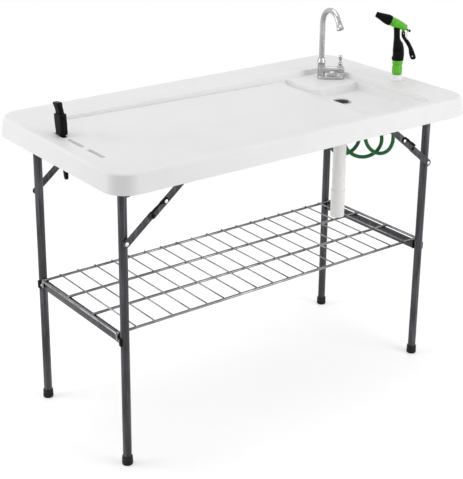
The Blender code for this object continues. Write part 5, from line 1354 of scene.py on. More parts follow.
@dataclass
class WireShelf(Assembly):
    """The chrome rack with its crossbars and black leg hooks."""

    rod_radius: float = 0.0037
    wire_radius: float = 0.002
    wire_count: int = 18
    rod_count: int = 4
    hook_drop: float = 0.020
    saddle_thickness: float = 0.0035

    def build(self) -> None:
        """Builds the rack and what it rests on."""
        self.build_rack()
        for side in Side:
            self.build_crossbar(side)
            for face in Face:
                self.build_saddle(side, face)

    def build_rack(self) -> None:
        """Builds long rods, cross wires with weld spots, and end rods that hook over the crossbars."""
        high = self.frame.high("rack")
        end_x = high.x - self.rod_radius * 0.97
        half = high.y - 0.003
        rod_z = self.frame.high("crossbar_left").z + CLEARANCE + self.rod_radius
        wire_z = rod_z + self.rod_radius + self.wire_radius * 0.3
        step = 2 * half / (self.rod_count - 1)
        rods = [self.bench.rod("rod", Vector((-end_x, -half + n * step, rod_z)),
                               Vector((end_x, -half + n * step, rod_z)), self.rod_radius, 20)
                for n in range(self.rod_count)]
        bend, radius = 0.006, self.rod_radius * 0.97
        for side in Side:
            x = side.value * end_x
            inner = half - bend
            corner = [(inner + bend * sin(a), rod_z - bend + bend * cos(a)) for a in
                      (pi / 2 * n / 6 for n in range(7))]
            points = [Vector((x, -half, rod_z - self.hook_drop))]
            points += [Vector((x, -y, z)) for y, z in reversed(corner)]
            points += [Vector((x, y, z)) for y, z in corner]
            points += [Vector((x, half, rod_z - self.hook_drop))]
            rods.append(self.bench.tube("end_rod", points, radius, 5))
        frame = self.bench.join("rack_rods", rods)
        self.dress(frame, "rack", SHADED_RACK_CHROME, "rack", angle=ROUND)
        pitch = 2 * end_x / (self.wire_count + 1)
        wire = self.bench.rod("rack_wire_01", Vector((0, -half - 0.003, 0)), Vector((0, half + 0.003, 0)),
                              self.wire_radius, 14, 0.0005)
        spot = [(0.0012, -0.0021), (0.0024, -0.0014), (0.0028, -0.0004), (0.0022, 0.0006), (0.0008, 0.0012)]
        beads = [self.bench.lathe("weld_spot", spot, 10) for _ in range(self.rod_count)]
        for n, bead in enumerate(beads):
            self.bench.put(bead, Matrix.Translation((0, -half + n * step, -0.0002)))
        wire = self.bench.join("rack_wire_01", [wire, *beads])
        for number in range(self.wire_count, 0, -1):
            place = Matrix.Translation((-end_x + number * pitch, 0, wire_z))
            if number == 1:
                piece = self.bench.put(wire, place)
            else:
                piece = self.bench.copied(wire, f"rack_wire_{number:02d}", place)
            self.dress(piece, "rack", SHADED_RACK_CHROME, "rack", angle=ROUND)

    def build_crossbar(self, side: Side) -> None:
        """Builds the flat-sided bar that carries the rack's end.

        Args:
            side: The end of the table.
        """
        node = f"crossbar_{side.label}"
        low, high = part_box(node)
        bar = self.bench.block(f"shelf_bar_{side.label}", low, high, 0.0030)
        self.dress(bar, "shelf_supports", POWDER_COAT, node)

    def build_saddle(self, side: Side, face: Face) -> None:
        """Builds the black hook that grips a leg from inside, with its bright rivet.

        Args:
            side: The end of the table.
            face: The long edge.
        """
        corner = f"{face.label}_{side.label}"
        node = f"saddle_{corner}"
        low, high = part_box(node)
        leg = self.frame.middle(f"foot_cap_{corner}")
        inner = LEG_RADIUS + CLEARANCE
        outer = inner + self.saddle_thickness
        reach = LEG_RADIUS * 0.85
        sweep = [radians(-90 + 110 * n / 22) for n in range(23)]
        outline = [(-reach, -outer)] + [(outer * cos(a), outer * sin(a)) for a in sweep]
        outline += [(inner * cos(a), inner * sin(a)) for a in reversed(sweep)] + [(-reach, -inner)]
        placed = [(side.value * x, face.value * y) for x, y in outline]
        hook = self.bench.plate(f"hook_{corner}", [placed], high.z - low.z, 0.0006)
        bar_z = self.frame.middle(f"crossbar_{side.label}").z
        self.bench.put(hook, Matrix.Translation((leg.x, leg.y, bar_z)))
        self.dress(hook, "shelf_supports", BLACK_PLASTIC, node)
        out = Vector((side.value * sqrt(0.5), -face.value * sqrt(0.5), 0))
        head = self.bench.lathe(f"hook_rivet_{corner}", [(0.0030, 0.0), (0.0032, 0.0008),
                                                         *dome(0.0032, 0.0012, 0.0020)[1:]], 20)
        self.bench.put(head, aimed(Vector((leg.x, leg.y, bar_z)) + out * (inner + outer) / 2, out))
        self.dress(head, "shelf_supports", BRIGHT_ZINC, node, angle=ROUND)


@dataclass
class Drain(Assembly):
    """The basin's strainer, its nut, the pipe and the outlet sleeve."""

    flange_radius: float = 0.0275
    hole_radius: float = 0.0019
    hole_circles: tuple[tuple[float, int], ...] = ((0.0050, 6), (0.0098, 12), (0.0146, 18))
    pipe_radius: float = 0.0188
    pipe_wall: float = 0.0018
    nut_bore: float = 0.0197

    def build(self) -> None:
        """Builds the drain from the basin's floor down."""
        middle, r = self.frame.middle("drain_strainer"), self.flange_radius
        place = Matrix.Translation((middle.x, middle.y, 0.0))
        low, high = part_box("drain_strainer")
        top = high.z
        rings = [(0.0192, low.z), (0.0192, top - 0.0028), (r - 0.0004, top - 0.0026), (r, top - 0.0018),
                 (r - 0.0006, top - 0.0006), (r - 0.0026, top), (r - 0.0060, top - 0.0004),
                 (r - 0.0080, top - 0.0026), (0.0185, top - 0.0052), (0.0080, top - 0.0060)]
        cup = self.bench.put(self.bench.lathe("strainer_cup", rings, 56), place)
        well = self.bench.put(self.bench.lathe("well", [(0.0172, low.z - CUT_PAST), (0.0172, top - 0.0078)]),
                              place)
        holes = []
        for ring, count in self.hole_circles:
            for n in range(count):
                angle = 2 * pi * n / count
                x, y = middle.x + ring * cos(angle), middle.y + ring * sin(angle)
                holes.append(self.bench.rod("hole", Vector((x, y, top - 0.02)),
                                            Vector((x, y, top + CUT_PAST)), self.hole_radius, 12))
        self.bench.combine(cup, [well, self.bench.join("holes", holes)])
        self.dress(cup, "table", DARK_STEEL, "drain_strainer", angle=CRISP)
        rings = [(r - 0.0062, top - 0.0012), (r - 0.0004, top - 0.0012), (r + 0.0001, top - 0.0006),
                 (r - 0.0006, top + 0.0001), (r - 0.0050, top + 0.0001), (r - 0.0062, top - 0.0004)]
        trim = self.bench.lathe("strainer_trim", rings, 56)
        mouth = self.bench.bore(r - 0.0068, top, top, 56)
        self.bench.put(self.bench.combine(trim, [mouth]), place)
        self.dress(trim, "table", CHROME, "drain_strainer", angle=CRISP)
        self.build_nut(place)
        self.build_pipe("drain_tube", "drain_pipe", self.pipe_radius, self.pipe_radius - self.pipe_wall,
                        place)
        outlet_low, outlet_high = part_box("drain_outlet")
        self.build_pipe("drain_sleeve", "drain_outlet", (outlet_high.x - outlet_low.x) / 2,
                        self.pipe_radius + CLEARANCE, place)
    def build_nut(self, place: Matrix) -> None:
        """Builds the white nut with grip ribs under the basin.

        Args:
            place: The drain's place.
        """
        low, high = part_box("drain_locknut")
        r = (high.x - low.x) / 2
        profile = [(r - 0.0022, low.z), (r - 0.0012, low.z + 0.0010), (r - 0.0012, high.z - 0.0020),
                   (r - 0.0002, high.z - 0.0016), (r - 0.0002, high.z)]
        nut = self.bench.lathe("drain_nut", profile)
        grips = self.bench.circle_of(16, lambda: self.bench.block(
            "grip", (r - 0.003, -0.0012, low.z + 0.001), (r - 0.0001, 0.0012, high.z - 0.001), 0.0004))
        nut = self.bench.combine(nut, [self.bench.bore(self.nut_bore, low.z, high.z)])
        nut = self.bench.join("drain_nut", [nut, *grips])
        self.dress(self.bench.put(nut, place), "table", WHITE_PLAIN, "drain_locknut", angle=CRISP)

    def build_pipe(self, name: str, node: str, outer: float, inner: float, place: Matrix) -> None:
        """Builds an open pipe with softened ends.

        Args:
            name: The piece's name.
            node: The node that it stands for.
            outer: Its outer radius.
            inner: Its bore's radius.
            place: The drain's place.
        """
        low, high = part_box(node)
        soft = (outer - inner) * 0.4
        profile = [(outer - soft, low.z), (outer, low.z + soft), (outer, high.z - soft),
                   (outer - soft, high.z)]
        pipe = self.bench.lathe(name, profile, 56)
        self.bench.put(self.bench.combine(pipe, [self.bench.bore(inner, low.z, high.z, 56)]), place)
        self.dress(pipe, "table", PIPE_WHITE, node)


@dataclass
class Tap(Assembly):
    """The chrome bridge tap with its swivel spout, lever and the fittings under the ledge."""

    turn: float = -38.0
    base: Point = (0.080, 0.032)
    base_shift: float = -0.0035
    base_height: float = 0.009
    spout_offset: float = 0.033
    lever_offset: float = 0.0225
    bridge_height: float = 0.035
    bridge_depth: float = 0.017
    bridge_half: float = 0.0105
    socket_rise: float = 0.048
    spout_radius: float = 0.008
    arch_radius: float = 0.0445
    arch_angle: float = 149.0
    arch_steps: int = 60
    spout_rise: float = 0.2102
    spout_turn: float = -100.0
    nozzle_length: float = 0.022
    nozzle_radius: float = 0.0105
    lever_height: float = 0.032
    lever_ball: float = 0.0062
    shank_radius: float = 0.0095
    base_edge: float = 0.003
    bridge_edge: float = 0.0055
    hexagon_radius: float = 0.0165
    nut_radius: float = 0.0165
    adapter_radius: float = 0.0135
    adapter_bore: float = 0.0125
    inlet_share: float = 0.29

    def __post_init__(self) -> None:
        """Reads the tap's place from the frame."""
        middle = self.frame.middle("tap_locknut")
        self.seat = self.frame.low("tap_base_plate").z
        turn = Matrix.Rotation(radians(self.turn), 4, "Z")
        self.place = Matrix.Translation((middle.x, middle.y, 0.0)) @ turn
        self.bridge_top = self.seat + self.bridge_height

    def build(self) -> None:
        """Builds the whole tap."""
        self.build_base()
        self.build_body()
        self.build_collar()
        self.build_spout()
        self.build_lever()
        self.build_fittings()

    def build_base(self) -> None:
        """Builds the oblong base plate with its rounded top edge."""
        length, width = self.base
        rings = [Ring(self.seat, length - 0.0008, width - 0.0008, self.base_shift),
                 Ring(self.seat + 0.0005, length, width, self.base_shift)]
        rings += rounded_top(self.seat + self.base_height, self.base, self.base_edge, 5, self.base_shift)
        plate = self.bench.stack("tap_foot", rings, corner=width / 2 - 0.0008, steps=16)
        hole = self.bench.bore(self.shank_radius + 2 * CLEARANCE, self.seat, self.seat + self.base_height, 32)
        self.bench.put(self.bench.combine(plate, [hole]), self.place)
        self.dress(plate, "table", CHROME, "tap_base_plate")

    def build_body(self) -> None:
        """Builds the hexagon, the bridge, the spout's socket, the valve and the shank."""
        foot, top = self.bridge_top - self.bridge_depth, self.bridge_top
        start, end, half = -self.spout_offset - 0.009, self.lever_offset + 0.013, self.bridge_half
        body_z = self.seat + self.base_height + CLEARANCE
        edge, widths, middle = self.bridge_edge, (end - start, 2 * half), (start + end) / 2
        rings = [Ring(foot + edge * (1 - cosine), *(width - 2 * edge * (1 - sine) for width in widths),
                      middle) for sine, cosine in quarter(6)]
        bridge = self.bench.stack("bridge", rings + rounded_top(top, widths, edge, 6, middle), corner=0.0048,
                                  steps=12)
        hexagon = self.bench.rod("hexagon", Vector((0, 0, body_z)), Vector((0, 0, foot + 0.003)),
                                 self.hexagon_radius, 6, 0.0012)
        profile = [(0.0150, foot + 0.001), (0.0140, foot + 0.0032), (0.0112, foot + 0.005),
                   (0.0100, foot + 0.007)]
        hub = self.bench.lathe("hub", profile, 36)
        socket_top = self.seat + self.socket_rise
        profile = [(0.0100, body_z), (0.0108, body_z + 0.0008), (0.0108, foot), (0.0104, top),
                   (0.0108, top + 0.0012), (0.0108, socket_top - 0.0042), (0.0100, socket_top - 0.0036),
                   (0.0100, socket_top - 0.0028), (0.0108, socket_top - 0.0022),
                   (0.0108, socket_top - 0.0006), (0.0100, socket_top)]
        socket = self.bench.lathe("socket", profile, 44)
        self.bench.put(socket, Matrix.Translation((-self.spout_offset, 0, 0)))
        profile = [(0.0088, foot), (0.0088, top + 0.0026), (0.0080, top + 0.0036), (0.0066, top + 0.0040)]
        valve = self.bench.lathe("valve", profile, 36)
        self.bench.put(valve, Matrix.Translation((self.lever_offset, 0, 0)))
        shank = self.bench.rod("shank", Vector((0, 0, self.frame.low("tap_locknut").z - 0.012)),
                               Vector((0, 0, foot + 0.002)), self.shank_radius, 28)
        body = self.bench.join("tap_bridge", [bridge, hexagon, hub, socket, valve, shank])
        self.dress(self.bench.put(body, self.place), "table", CHROME, "tap_body")

    def build_collar(self) -> None:
        """Builds the flared collar nut round the spout's foot."""
        low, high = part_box("tap_collar")
        bore = self.spout_radius + CLEARANCE
        height = high.z - low.z
        rings = [(0.0118, low.z), (0.0124, low.z + 0.0005), (0.0124, low.z + height * 0.30),
                 (0.0116, low.z + height * 0.40), (bore + 0.0024, low.z + height * 0.55),
                 (bore + 0.0014, low.z + height * 0.75), (bore + 0.0016, low.z + height * 0.86),
                 (bore + 0.0013, high.z - 0.0004), (bore + 0.0009, high.z)]
        collar = self.bench.lathe("spout_collar", rings, 44)
        hole = self.bench.bore(bore, low.z, high.z, 44)
        spot = self.frame.pivot("spout_swivel")
        self.bench.put(self.bench.combine(collar, [hole]), Matrix.Translation((spot.x, spot.y, 0)))
        self.dress(collar, "table", CHROME, "tap_collar")

    def build_spout(self) -> None:
        """Builds the swan-neck spout and the aerator on its end."""
        spot = self.frame.pivot("spout_swivel")
        foot, top = self.frame.low("tap_spout").z, self.seat + self.spout_rise
        spring = top - self.arch_radius
        points = [Vector((0, 0, foot)), Vector((0, 0, foot + 0.02)), Vector((0, 0, spring - 0.02))]
        for n in range(self.arch_steps + 1):
            angle = radians(self.arch_angle) * n / self.arch_steps
            out, rise = self.arch_radius * (1 - cos(angle)), self.arch_radius * sin(angle)
            points.append(Vector((out, 0, spring + rise)))
        heading = (points[-1] - points[-2]).normalized()
        points.append(points[-1] + heading * 0.005)
        tube = self.bench.tube("spout_tube", points, self.spout_radius, 10)
        place = Matrix.Translation((spot.x, spot.y, 0)) @ Matrix.Rotation(radians(self.spout_turn), 4, "Z")
        self.dress(self.bench.put(tube, place), "spout", CHROME, "tap_spout", angle=ROUND)
        length, r, thin = self.nozzle_length, self.nozzle_radius, self.spout_radius
        profile = [(thin - 0.0006, 0.0), (thin, 0.0005), (thin + 0.0006, length * 0.30),
                   (r - 0.0010, length * 0.62), (r - 0.0002, length * 0.70), (r - 0.0007, length * 0.73),
                   (r - 0.0001, length * 0.77), (r, length * 0.80), (r, length - 0.0006),
                   (r - 0.0006, length), (r - 0.0016, length), (r - 0.0020, length - 0.003)]
        nozzle = self.bench.lathe("spout_aerator", profile, 44)
        aim = aimed(points[-1] + heading * CLEARANCE, heading)
        self.dress(self.bench.put(nozzle, place @ aim), "spout", CHROME, "tap_nozzle", angle=CRISP)

    def build_lever(self) -> None:
        """Builds the round-ended lever on its ball."""
        spot, low = self.frame.middle("tap_lever"), self.frame.low("tap_lever").z
        ball, top, stem = self.lever_ball, self.lever_height, 0.0034
        profile = [(ball * cos(radians(a)), ball * (1 + sin(radians(a)))) for a in range(-70, 36, 15)]
        profile += [(stem + 0.0004, ball * 1.85), (stem, ball * 2.1), (stem, top - 0.016),
                    (0.0045, top - 0.012), (0.0054, top - 0.009), (0.0053, top - 0.004),
                    (0.0044, top - 0.0018), (0.0030, top - 0.0006), (0.0010, top)]
        lever = self.bench.lathe("lever_handle", profile, 36)
        self.bench.put(lever, Matrix.Translation((spot.x, spot.y, low)))
        self.dress(lever, "lever", CHROME, "tap_lever", angle=ROUND)

    def build_fittings(self) -> None:
        """Builds the black locknut and the hose adapter with its side inlet."""
        low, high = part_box("tap_locknut")
        place = Matrix.Translation(((low.x + high.x) / 2, (low.y + high.y) / 2, 0))
        r, bore_radius = self.nut_radius, self.shank_radius + CLEARANCE
        profile = [(r - 0.0012, low.z), (r, low.z + 0.0012), (r, high.z - 0.0006), (r - 0.0006, high.z)]
        bore = self.bench.bore(bore_radius, low.z, high.z, 32)
        nut = self.bench.put(self.bench.combine(self.bench.lathe("ledge_nut", profile, 12), [bore]), place)
        self.dress(nut, "table", BLACK_PLASTIC, "tap_locknut", angle=25.0)
        foot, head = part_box("hose_adapter")
        r = self.adapter_radius
        profile = [(r - 0.0030, foot.z), (r - 0.0008, foot.z + 0.0006), (r, foot.z + 0.0024),
                   (r, head.z - 0.010), (r - 0.0008, head.z - 0.009), (r, head.z - 0.008),
                   (r, head.z - 0.0008), (r - 0.0008, head.z)]
        body = self.bench.lathe("adapter", profile)
        profile = [(bore_radius, head.z - self.adapter_bore), (bore_radius, head.z + CUT_PAST)]
        self.bench.combine(body, [self.bench.lathe("bore", profile, 32)])
        profile = [(0.0078, 0.0), (0.0078, 0.0174), (0.0070, 0.0184), (0.0050, 0.0190), (0.0050, 0.0230),
                   (0.0062, 0.0240), (0.0062, 0.0280), (0.0040, 0.0300)]
        inlet = self.bench.lathe("inlet", profile, 32)
        height = foot.z + (head.z - foot.z) * self.inlet_share
        self.bench.put(inlet, Matrix.Translation((0, 0, height)) @ ALONG_Y)
        adapter = self.bench.join("supply_adapter", [body, inlet])
        self.dress(self.bench.put(adapter, place), "table", BLACK_PLASTIC, "hose_adapter", angle=CRISP)


@dataclass
class Sprayer(Assembly):
    """The hand sprayer in its rim socket: connector, grip, barrel, bezel, knob, trigger and clip."""

    turn: float = 141.8
    rise: float = 23.7
    connector_radius: float = 0.0147
    barrel_radius: float = 0.0132
    barrel_length: float = 0.049
    bezel_length: float = 0.0465
    tip_radius: float = 0.0085
    trigger_width: float = 0.013
    trigger_from_foot: Point = (-0.0120, 0.0793)
    rear: Point = (-0.0200, 0.0935)
    knob_radius: float = 0.0036
    knob_drop: float = 0.0040
    clip_radius: float = 0.0007
    socket_bore: float = 0.0092
    connector_ribs: int = 20
    bezel_flutes: int = 24
    strip_ribs: int = 13
    strip_foot: float = 0.008
    strip_pitch: float = 0.0036

    def __post_init__(self) -> None:
        """Reads the sprayer's place and works out the barrel's axis."""
        spot = self.frame.middle("sprayer_socket")
        self.place = Matrix.Translation((spot.x, spot.y, 0)) @ Matrix.Rotation(radians(self.turn), 4, "Z")
        self.foot = self.frame.low("sprayer_grip").z
        angle = radians(self.rise)
        self.heading = Vector((cos(angle), 0, sin(angle)))
        self.barrel_rear = Vector((self.rear[0], 0, self.foot + self.rear[1]))
        self.pivot = (self.trigger_from_foot[0], self.foot + self.trigger_from_foot[1])

    def aimed(self, start: Vector) -> Matrix:
        """Returns the place of a form that is turned about the barrel's axis."""
        tilt = self.heading.to_track_quat("Z", "Y").to_matrix().to_4x4()
        return self.place @ Matrix.Translation(start) @ tilt

    def build(self) -> None:
        """Builds the whole sprayer."""
        self.build_socket()
        self.build_connector()
        self.build_grip()
        self.build_barrel()
        self.build_trigger()
        self.build_clip()

    def build_socket(self) -> None:
        """Builds the white socket in the rim."""
        low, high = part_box("sprayer_socket")
        rim = self.frame.high("tabletop").z + CLEARANCE
        rings = [(0.0140, low.z), (0.0140, rim), (0.0191, rim), (0.0195, rim + 0.0006),
                 (0.0195, rim + 0.0016), (0.0188, rim + 0.0026), (0.0172, rim + 0.0036),
                 (0.0165, rim + 0.0044), (0.0151, high.z - 0.0010), (0.0145, high.z - 0.0002),
                 (0.0138, high.z)]
        socket = self.bench.lathe("rim_socket", rings, 56)
        self.bench.put(self.bench.combine(socket, [self.bench.bore(self.socket_bore, low.z, high.z)]),
                       self.place)
        self.dress(socket, "table", WHITE_PLAIN, "sprayer_socket", angle=CRISP)

    def build_connector(self) -> None:
        """Builds the green hose connector with its grip ribs, and the plain ring over it."""
        low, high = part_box("hose_connector")
        r = self.connector_radius
        rings = [(r * 0.84, low.z), (r * 0.88, low.z + 0.0006), (r * 0.98, low.z + 0.0036),
                 (r, low.z + 0.0046), (r, low.z + 0.0100), (r * 0.965, high.z - 0.0090),
                 (r * 0.955, high.z - 0.0080), (r * 0.90, high.z - 0.0064), (r * 0.90, high.z - 0.0044),
                 (r * 0.955, high.z - 0.0030), (r * 0.955, high.z - 0.0006), (r * 0.92, high.z)]
        body = self.bench.lathe("hose_nut", rings, 56)
        ribs = self.bench.circle_of(self.connector_ribs, lambda: self.bench.block(
            "rib", (r * 0.90, -0.0007, low.z + 0.0050), (r * 0.999, 0.0007, high.z - 0.0095), 0.0003))
        nut = self.bench.join("hose_nut", [body, *ribs])
        self.dress(self.bench.put(nut, self.place), "hose_end", BRIGHT_GREEN, "hose_connector", angle=CRISP)
        low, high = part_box("connector_ring")
        rings = [(r * 0.97, low.z), (r * 1.03, low.z + 0.0010), (r * 1.03, low.z + 0.0030),
                 (r * 1.00, low.z + 0.0036), (r * 1.00, high.z - 0.0042), (r * 1.03, high.z - 0.0036),
                 (r * 1.03, high.z - 0.0020), (r * 0.98, high.z)]
        ring = self.bench.put(self.bench.lathe("green_ring", rings, 56), self.place)
        self.dress(ring, "sprayer", BRIGHT_GREEN, "connector_ring", angle=CRISP)

    def build_grip(self) -> None:
        """Builds the black grip with the ribbed grey strip under the trigger."""
        sections = [Vector(s) for s in ((0.0, 0.0004, 0.0160, 0.0144), (0.0012, 0.0004, 0.0167, 0.0150),
                                        (0.006, 0.0003, 0.0166, 0.0149), (0.014, -0.0009, 0.0156, 0.0142),
                                        (0.029, -0.0002, 0.0156, 0.0140), (0.039, 0.0004, 0.0145, 0.0134),
                                        (0.049, 0.0020, 0.0128, 0.0126), (0.063, 0.0054, 0.0090, 0.0112),
                                        (0.078, 0.0065, 0.0085, 0.0102), (0.0935, 0.0074, 0.0090, 0.0100))]
        line = smoothed(sections, 4)
        rings = [Ring(self.foot + z, 2 * x, 2 * y, centre) for z, centre, x, y in line]
        grip = self.bench.stack("grip_body", rings, corner=0.0104, steps=12)
        self.dress(self.bench.put(grip, self.place), "sprayer", BLACK_PLASTIC, "sprayer_grip", angle=ROUND)
        ribs = []
        for n in range(self.strip_ribs):
            height = self.strip_foot + n * self.strip_pitch
            near = min(line, key=lambda s: abs(s[0] - height))
            edge = near[1] - near[2]
            ribs.append(self.bench.block("rib", (edge - 0.0005, -near[3] * 0.52, self.foot + height),
                                         (edge + 0.0040, near[3] * 0.52, self.foot + height + 0.0024),
                                         0.0005))
        strip = self.bench.put(self.bench.join("grip_strip", ribs), self.place)
        self.dress(strip, "sprayer", SOFT_GREY, "sprayer_grip")

    def build_barrel(self) -> None:
        """Builds the green barrel with its lug, the black bezel and the flow knob."""
        r, length = self.barrel_radius, self.barrel_length
        end = r * 0.66
        profile = [(end * 0.80, 0.0), (end * 0.94, 0.0008), (end, 0.0022), (r * 0.86, length * 0.38),
                   (r * 0.97, length * 0.62), (r, length * 0.72), (r, length - 0.0070),
                   (r * 0.965, length - 0.0064), (r * 0.965, length - 0.0054), (r, length - 0.0048),
                   (r, length - 0.0015), (r * 0.96, length)]
        barrel = self.bench.put(self.bench.lathe("barrel", profile, 52), self.aimed(self.barrel_rear))
        px, pz = self.pivot
        outline = capsule((px, pz), (px + 0.002, pz + 0.012), 0.0040, 12)
        lug = self.bench.plate("lug", [outline, disc((px, pz), 0.0020)], 0.0050)
        self.bench.put(lug, self.place @ UPRIGHT)
        body = self.bench.join("green_barrel", [barrel, lug])
        self.dress(body, "sprayer", BRIGHT_GREEN, "sprayer_barrel")
        b, tip = self.bezel_length, self.tip_radius
        profile = [(r * 1.03, 0.0), (r * 1.085, b * 0.02), (r * 1.11, b * 0.07), (r * 1.11, b * 0.12),
                   (r * 1.10, b * 0.24), (r * 1.07, b * 0.33), (r * 0.98, b * 0.45), (r * 0.86, b * 0.60),
                   (tip * 1.10, b * 0.80), (tip * 1.02, b * 0.90), (tip, b - 0.0015),
                   (tip * 0.95, b - 0.0004), (tip * 0.86, b), (tip * 0.78, b - 0.0006),
                   (tip * 0.72, b - 0.0030)]
        bezel = self.bench.lathe("bezel_body", profile, 60)
        flutes = self.bench.circle_of(self.bezel_flutes, lambda: self.bench.rod(
            "flute", Vector((r * 1.055, 0, b * 0.045)), Vector((r * 1.045, 0, b * 0.285)), 0.0010, 8, 0.0003))
        turned_bezel = self.bench.join("black_bezel", [bezel, *flutes])
        self.bench.put(turned_bezel, self.aimed(self.barrel_rear + self.heading * (length + CLEARANCE)))
        self.dress(turned_bezel, "bezel", BLACK_PLASTIC, "sprayer_bezel")
        k = self.knob_radius
        profile = [(k * 0.5, 0.0), (k * 0.5, -0.0052), (k * 0.92, -0.0052), (k, -0.0062), (k, -0.0126),
                   (k * 0.92, -0.0136), (k * 0.7, -0.0142)]
        knob = self.bench.lathe("round_knob", profile, 20)
        down = Vector((sin(radians(self.rise)), 0, -cos(radians(self.rise))))
        self.bench.put(knob, self.aimed(self.barrel_rear - self.heading * CLEARANCE + down * self.knob_drop))
        self.dress(knob, "knob", BLACK_PLASTIC, "flow_knob")

    def build_trigger(self) -> None:
        """Builds the trigger, forked over the lug, and the pin that it turns on."""
        px, pz = self.pivot
        outline = [(0.0050, 0.0), (0.0042, 0.0030), (0.0, 0.0050), (-0.0036, 0.0036), (-0.0052, 0.0),
                   (-0.0056, -0.0114), (-0.0168, -0.0227), (-0.0270, -0.0398), (-0.0336, -0.0541),
                   (-0.0385, -0.0668), (-0.0388, -0.0722), (-0.0365, -0.0758), (-0.0295, -0.0768),
                   (-0.0240, -0.0735), (-0.0192, -0.0587), (-0.0176, -0.0472), (-0.0094, -0.0315),
                   (0.0036, -0.0130)]
        closed = [Vector((px + a, pz + b)) for a, b in outline]
        line = [tuple(p) for p in smoothed([*closed, closed[0]], 2)[:-1]]
        spot = self.place.inverted() @ self.frame.pivot("clip_turn")
        trigger = self.bench.plate("trigger_lever", [line, disc((px - 0.0295, pz - 0.0681), 0.0024),
                                                     disc((spot.x, spot.z), 0.0012)], self.trigger_width,
                                   0.0014)
        self.bench.put(trigger, UPRIGHT)
        slot = self.bench.block("slot", (px - 0.012, -0.0030, pz - 0.0062), (px + 0.012, 0.0030, pz + 0.012))
        hole = self.bench.rod("hole", Vector((px, -0.02, pz)), Vector((px, 0.02, pz)), 0.0020, 20)
        self.bench.put(self.bench.combine(trigger, [slot, hole]), self.place)
        self.dress(trigger, "trigger", BLACK_PLASTIC, "sprayer_trigger")
        half = self.trigger_width / 2 + 0.0008
        pin = self.bench.rod("pivot_pin", Vector((px, -half, pz)), Vector((px, half, pz)), 0.0016, 20, 0.0003)
        self.dress(self.bench.put(pin, self.place), "trigger", BRIGHT_ZINC, "trigger_pin")

    def build_clip(self) -> None:
        """Builds the wire clip that locks the trigger."""
        half = self.trigger_width / 2
        wide = half + 0.0013
        top_x, top_z, corner = -0.0042, 0.0320, 0.002
        side = [(0, half - 0.0030, 0), (0, wide - 0.0006, 0), (top_x * 0.05, wide, 0.0008),
                (top_x * 0.92, wide, top_z - corner), (top_x, wide - corner, top_z)]
        points = [Vector((x, -y, z)) for x, y, z in side] + [Vector(p) for p in reversed(side)]
        wire = self.bench.tube("wire_clip", points, self.clip_radius, 3)
        spot = self.place.inverted() @ self.frame.pivot("clip_turn")
        self.bench.put(wire, self.place @ Matrix.Translation(spot))
        self.dress(wire, "clip", BRIGHT_ZINC, "trigger_lock_clip", angle=ROUND)


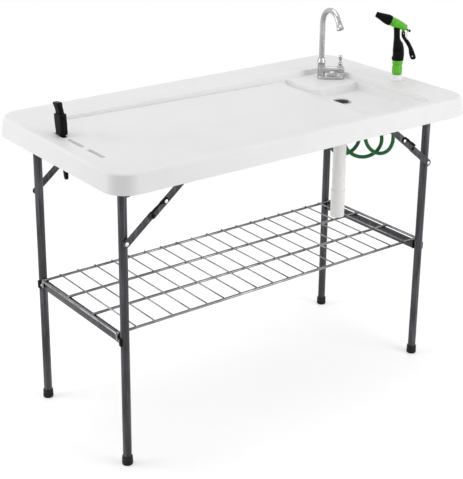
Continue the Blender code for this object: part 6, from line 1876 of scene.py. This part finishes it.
@dataclass
class SlotKnife(Assembly):
    """The knife in its black sheath, which stands leaning in the back slot."""

    lean: float = 7.0
    throat_length: float = 0.052
    throat_top: float = 0.040
    throat_foot: float = 0.034
    throat_depth: float = 0.020
    scabbard: Point3 = (0.0085, 0.024, 0.114)
    handle: Point = (0.014, 0.024)
    handle_shown: float = 0.028
    blade_thickness: float = 0.0016
    place: Point3 = (-0.5215, 0.039, 0.8157)

    def __post_init__(self) -> None:
        """Works out the leaning place."""
        self.leaning = Matrix.Translation(self.place) @ Matrix.Rotation(-radians(self.lean), 4, "X")

    def build(self) -> None:
        """Builds the sheath, the handle and the blade's finish."""
        depth, (thin, wide, long) = self.throat_depth, self.scabbard
        foot, top, tall = self.throat_foot, self.throat_top, self.throat_length
        sections = [(-long, wide * 0.35, depth * 0.34), (-long + 0.003, wide * 0.48, depth * 0.39),
                    (-long + 0.006, wide * 0.55, depth * 0.42), (-long * 0.7, wide * 0.80, thin),
                    (-0.001, wide, thin), (-0.0006, foot * 0.86, depth * 0.88),
                    (0.0, foot * 0.90, depth * 0.94), (0.0016, foot * 0.97, depth * 0.99),
                    (0.0035, foot, depth), (tall * 0.55, foot * 1.12, depth),
                    (tall - 0.004, top * 0.94, depth), (tall - 0.001, top * 0.93, depth * 0.985),
                    (tall, top * 0.90, depth * 0.95)]
        rings = [Ring(z, x, y) for z, y, x in sections]
        sheath = self.bench.stack("sheath_body", rings, corner=0.0019, steps=10)
        profile = [(0.0055, -0.004), (0.0055, 0.001), (0.0050, 0.0030), (0.0035, 0.0050), (0.0012, 0.0060)]
        bump = self.bench.lathe("bump", profile, 28)
        self.bench.put(bump, Matrix.Translation((0, -top * 0.42, tall - 0.009)) @ UPRIGHT)
        self.bench.combine(sheath, [bump], "UNION")
        room_x, room_y = self.handle[0] / 2 + 2 * CLEARANCE, self.handle[1] / 2 + 2 * CLEARANCE
        cavity = self.bench.block("cavity", (-room_x, -room_y, 0.004), (room_x, room_y, tall + 0.02), 0.0015)
        slit_x = self.blade_thickness / 2 + 2 * CLEARANCE
        slit = self.bench.block("slit", (-slit_x, -room_y + 0.001, -long + 0.012),
                                (slit_x, room_y - 0.001, 0.012))
        self.bench.put(self.bench.combine(sheath, [cavity, slit]), self.leaning)
        self.dress(sheath, "sheath", BLACK_PLASTIC, "knife_sheath")
        self.build_handle()
        self.refinish("knife_blade", BLADE_STEEL)

    def build_handle(self) -> None:
        """Builds the handle with its flared butt."""
        d, w = self.handle
        foot, shown = 0.006, self.throat_length + self.handle_shown
        sections = [Vector(s) for s in ((foot, 0.90, 0.94, 0), (foot + 0.003, 1.0, 1.0, 0),
                                        (self.throat_length + 0.001, 1.0, 1.0, 0),
                                        (self.throat_length + 0.010, 0.96, 1.0, 0.0014),
                                        (shown - 0.014, 0.97, 1.0, 0.0036),
                                        (shown - 0.010, 1.0, 1.05, 0.0050),
                                        (shown - 0.004, 1.19, 1.09, 0.0075),
                                        (shown - 0.0012, 1.16, 1.03, 0.0081), (shown, 1.08, 0.94, 0.0082))]
        rings = [Ring(z, d * b, w * a, 0.0, y) for z, a, b, y in sections]
        grip = self.bench.stack("handle_body", rings, corner=0.0042, steps=8)
        tang_x, tang_y = self.blade_thickness / 2 + CLEARANCE, w * 0.25 + CLEARANCE
        room = self.bench.block("tang_room", (-tang_x, -tang_y, foot - 0.01), (tang_x, tang_y, foot + 0.030))
        self.bench.put(self.bench.combine(grip, [room]), self.leaning)
        self.dress(grip, "knife", BLACK_PLASTIC, "knife_handle")


def main() -> None:
    """Builds the studio and every sub-assembly."""
    logging.basicConfig(level=logging.INFO, format="%(name)s: %(message)s")
    frame, bench = Frame(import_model()), Bench()
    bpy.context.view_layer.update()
    for kind in (Studio, CoilHose, TableTop, Undercarriage, WireShelf, Drain, Tap, Sprayer, SlotKnife):
        kind(bench, frame).build()
        LOG.info("%s is built", kind.__name__)


if __name__ == "__main__":
    main()
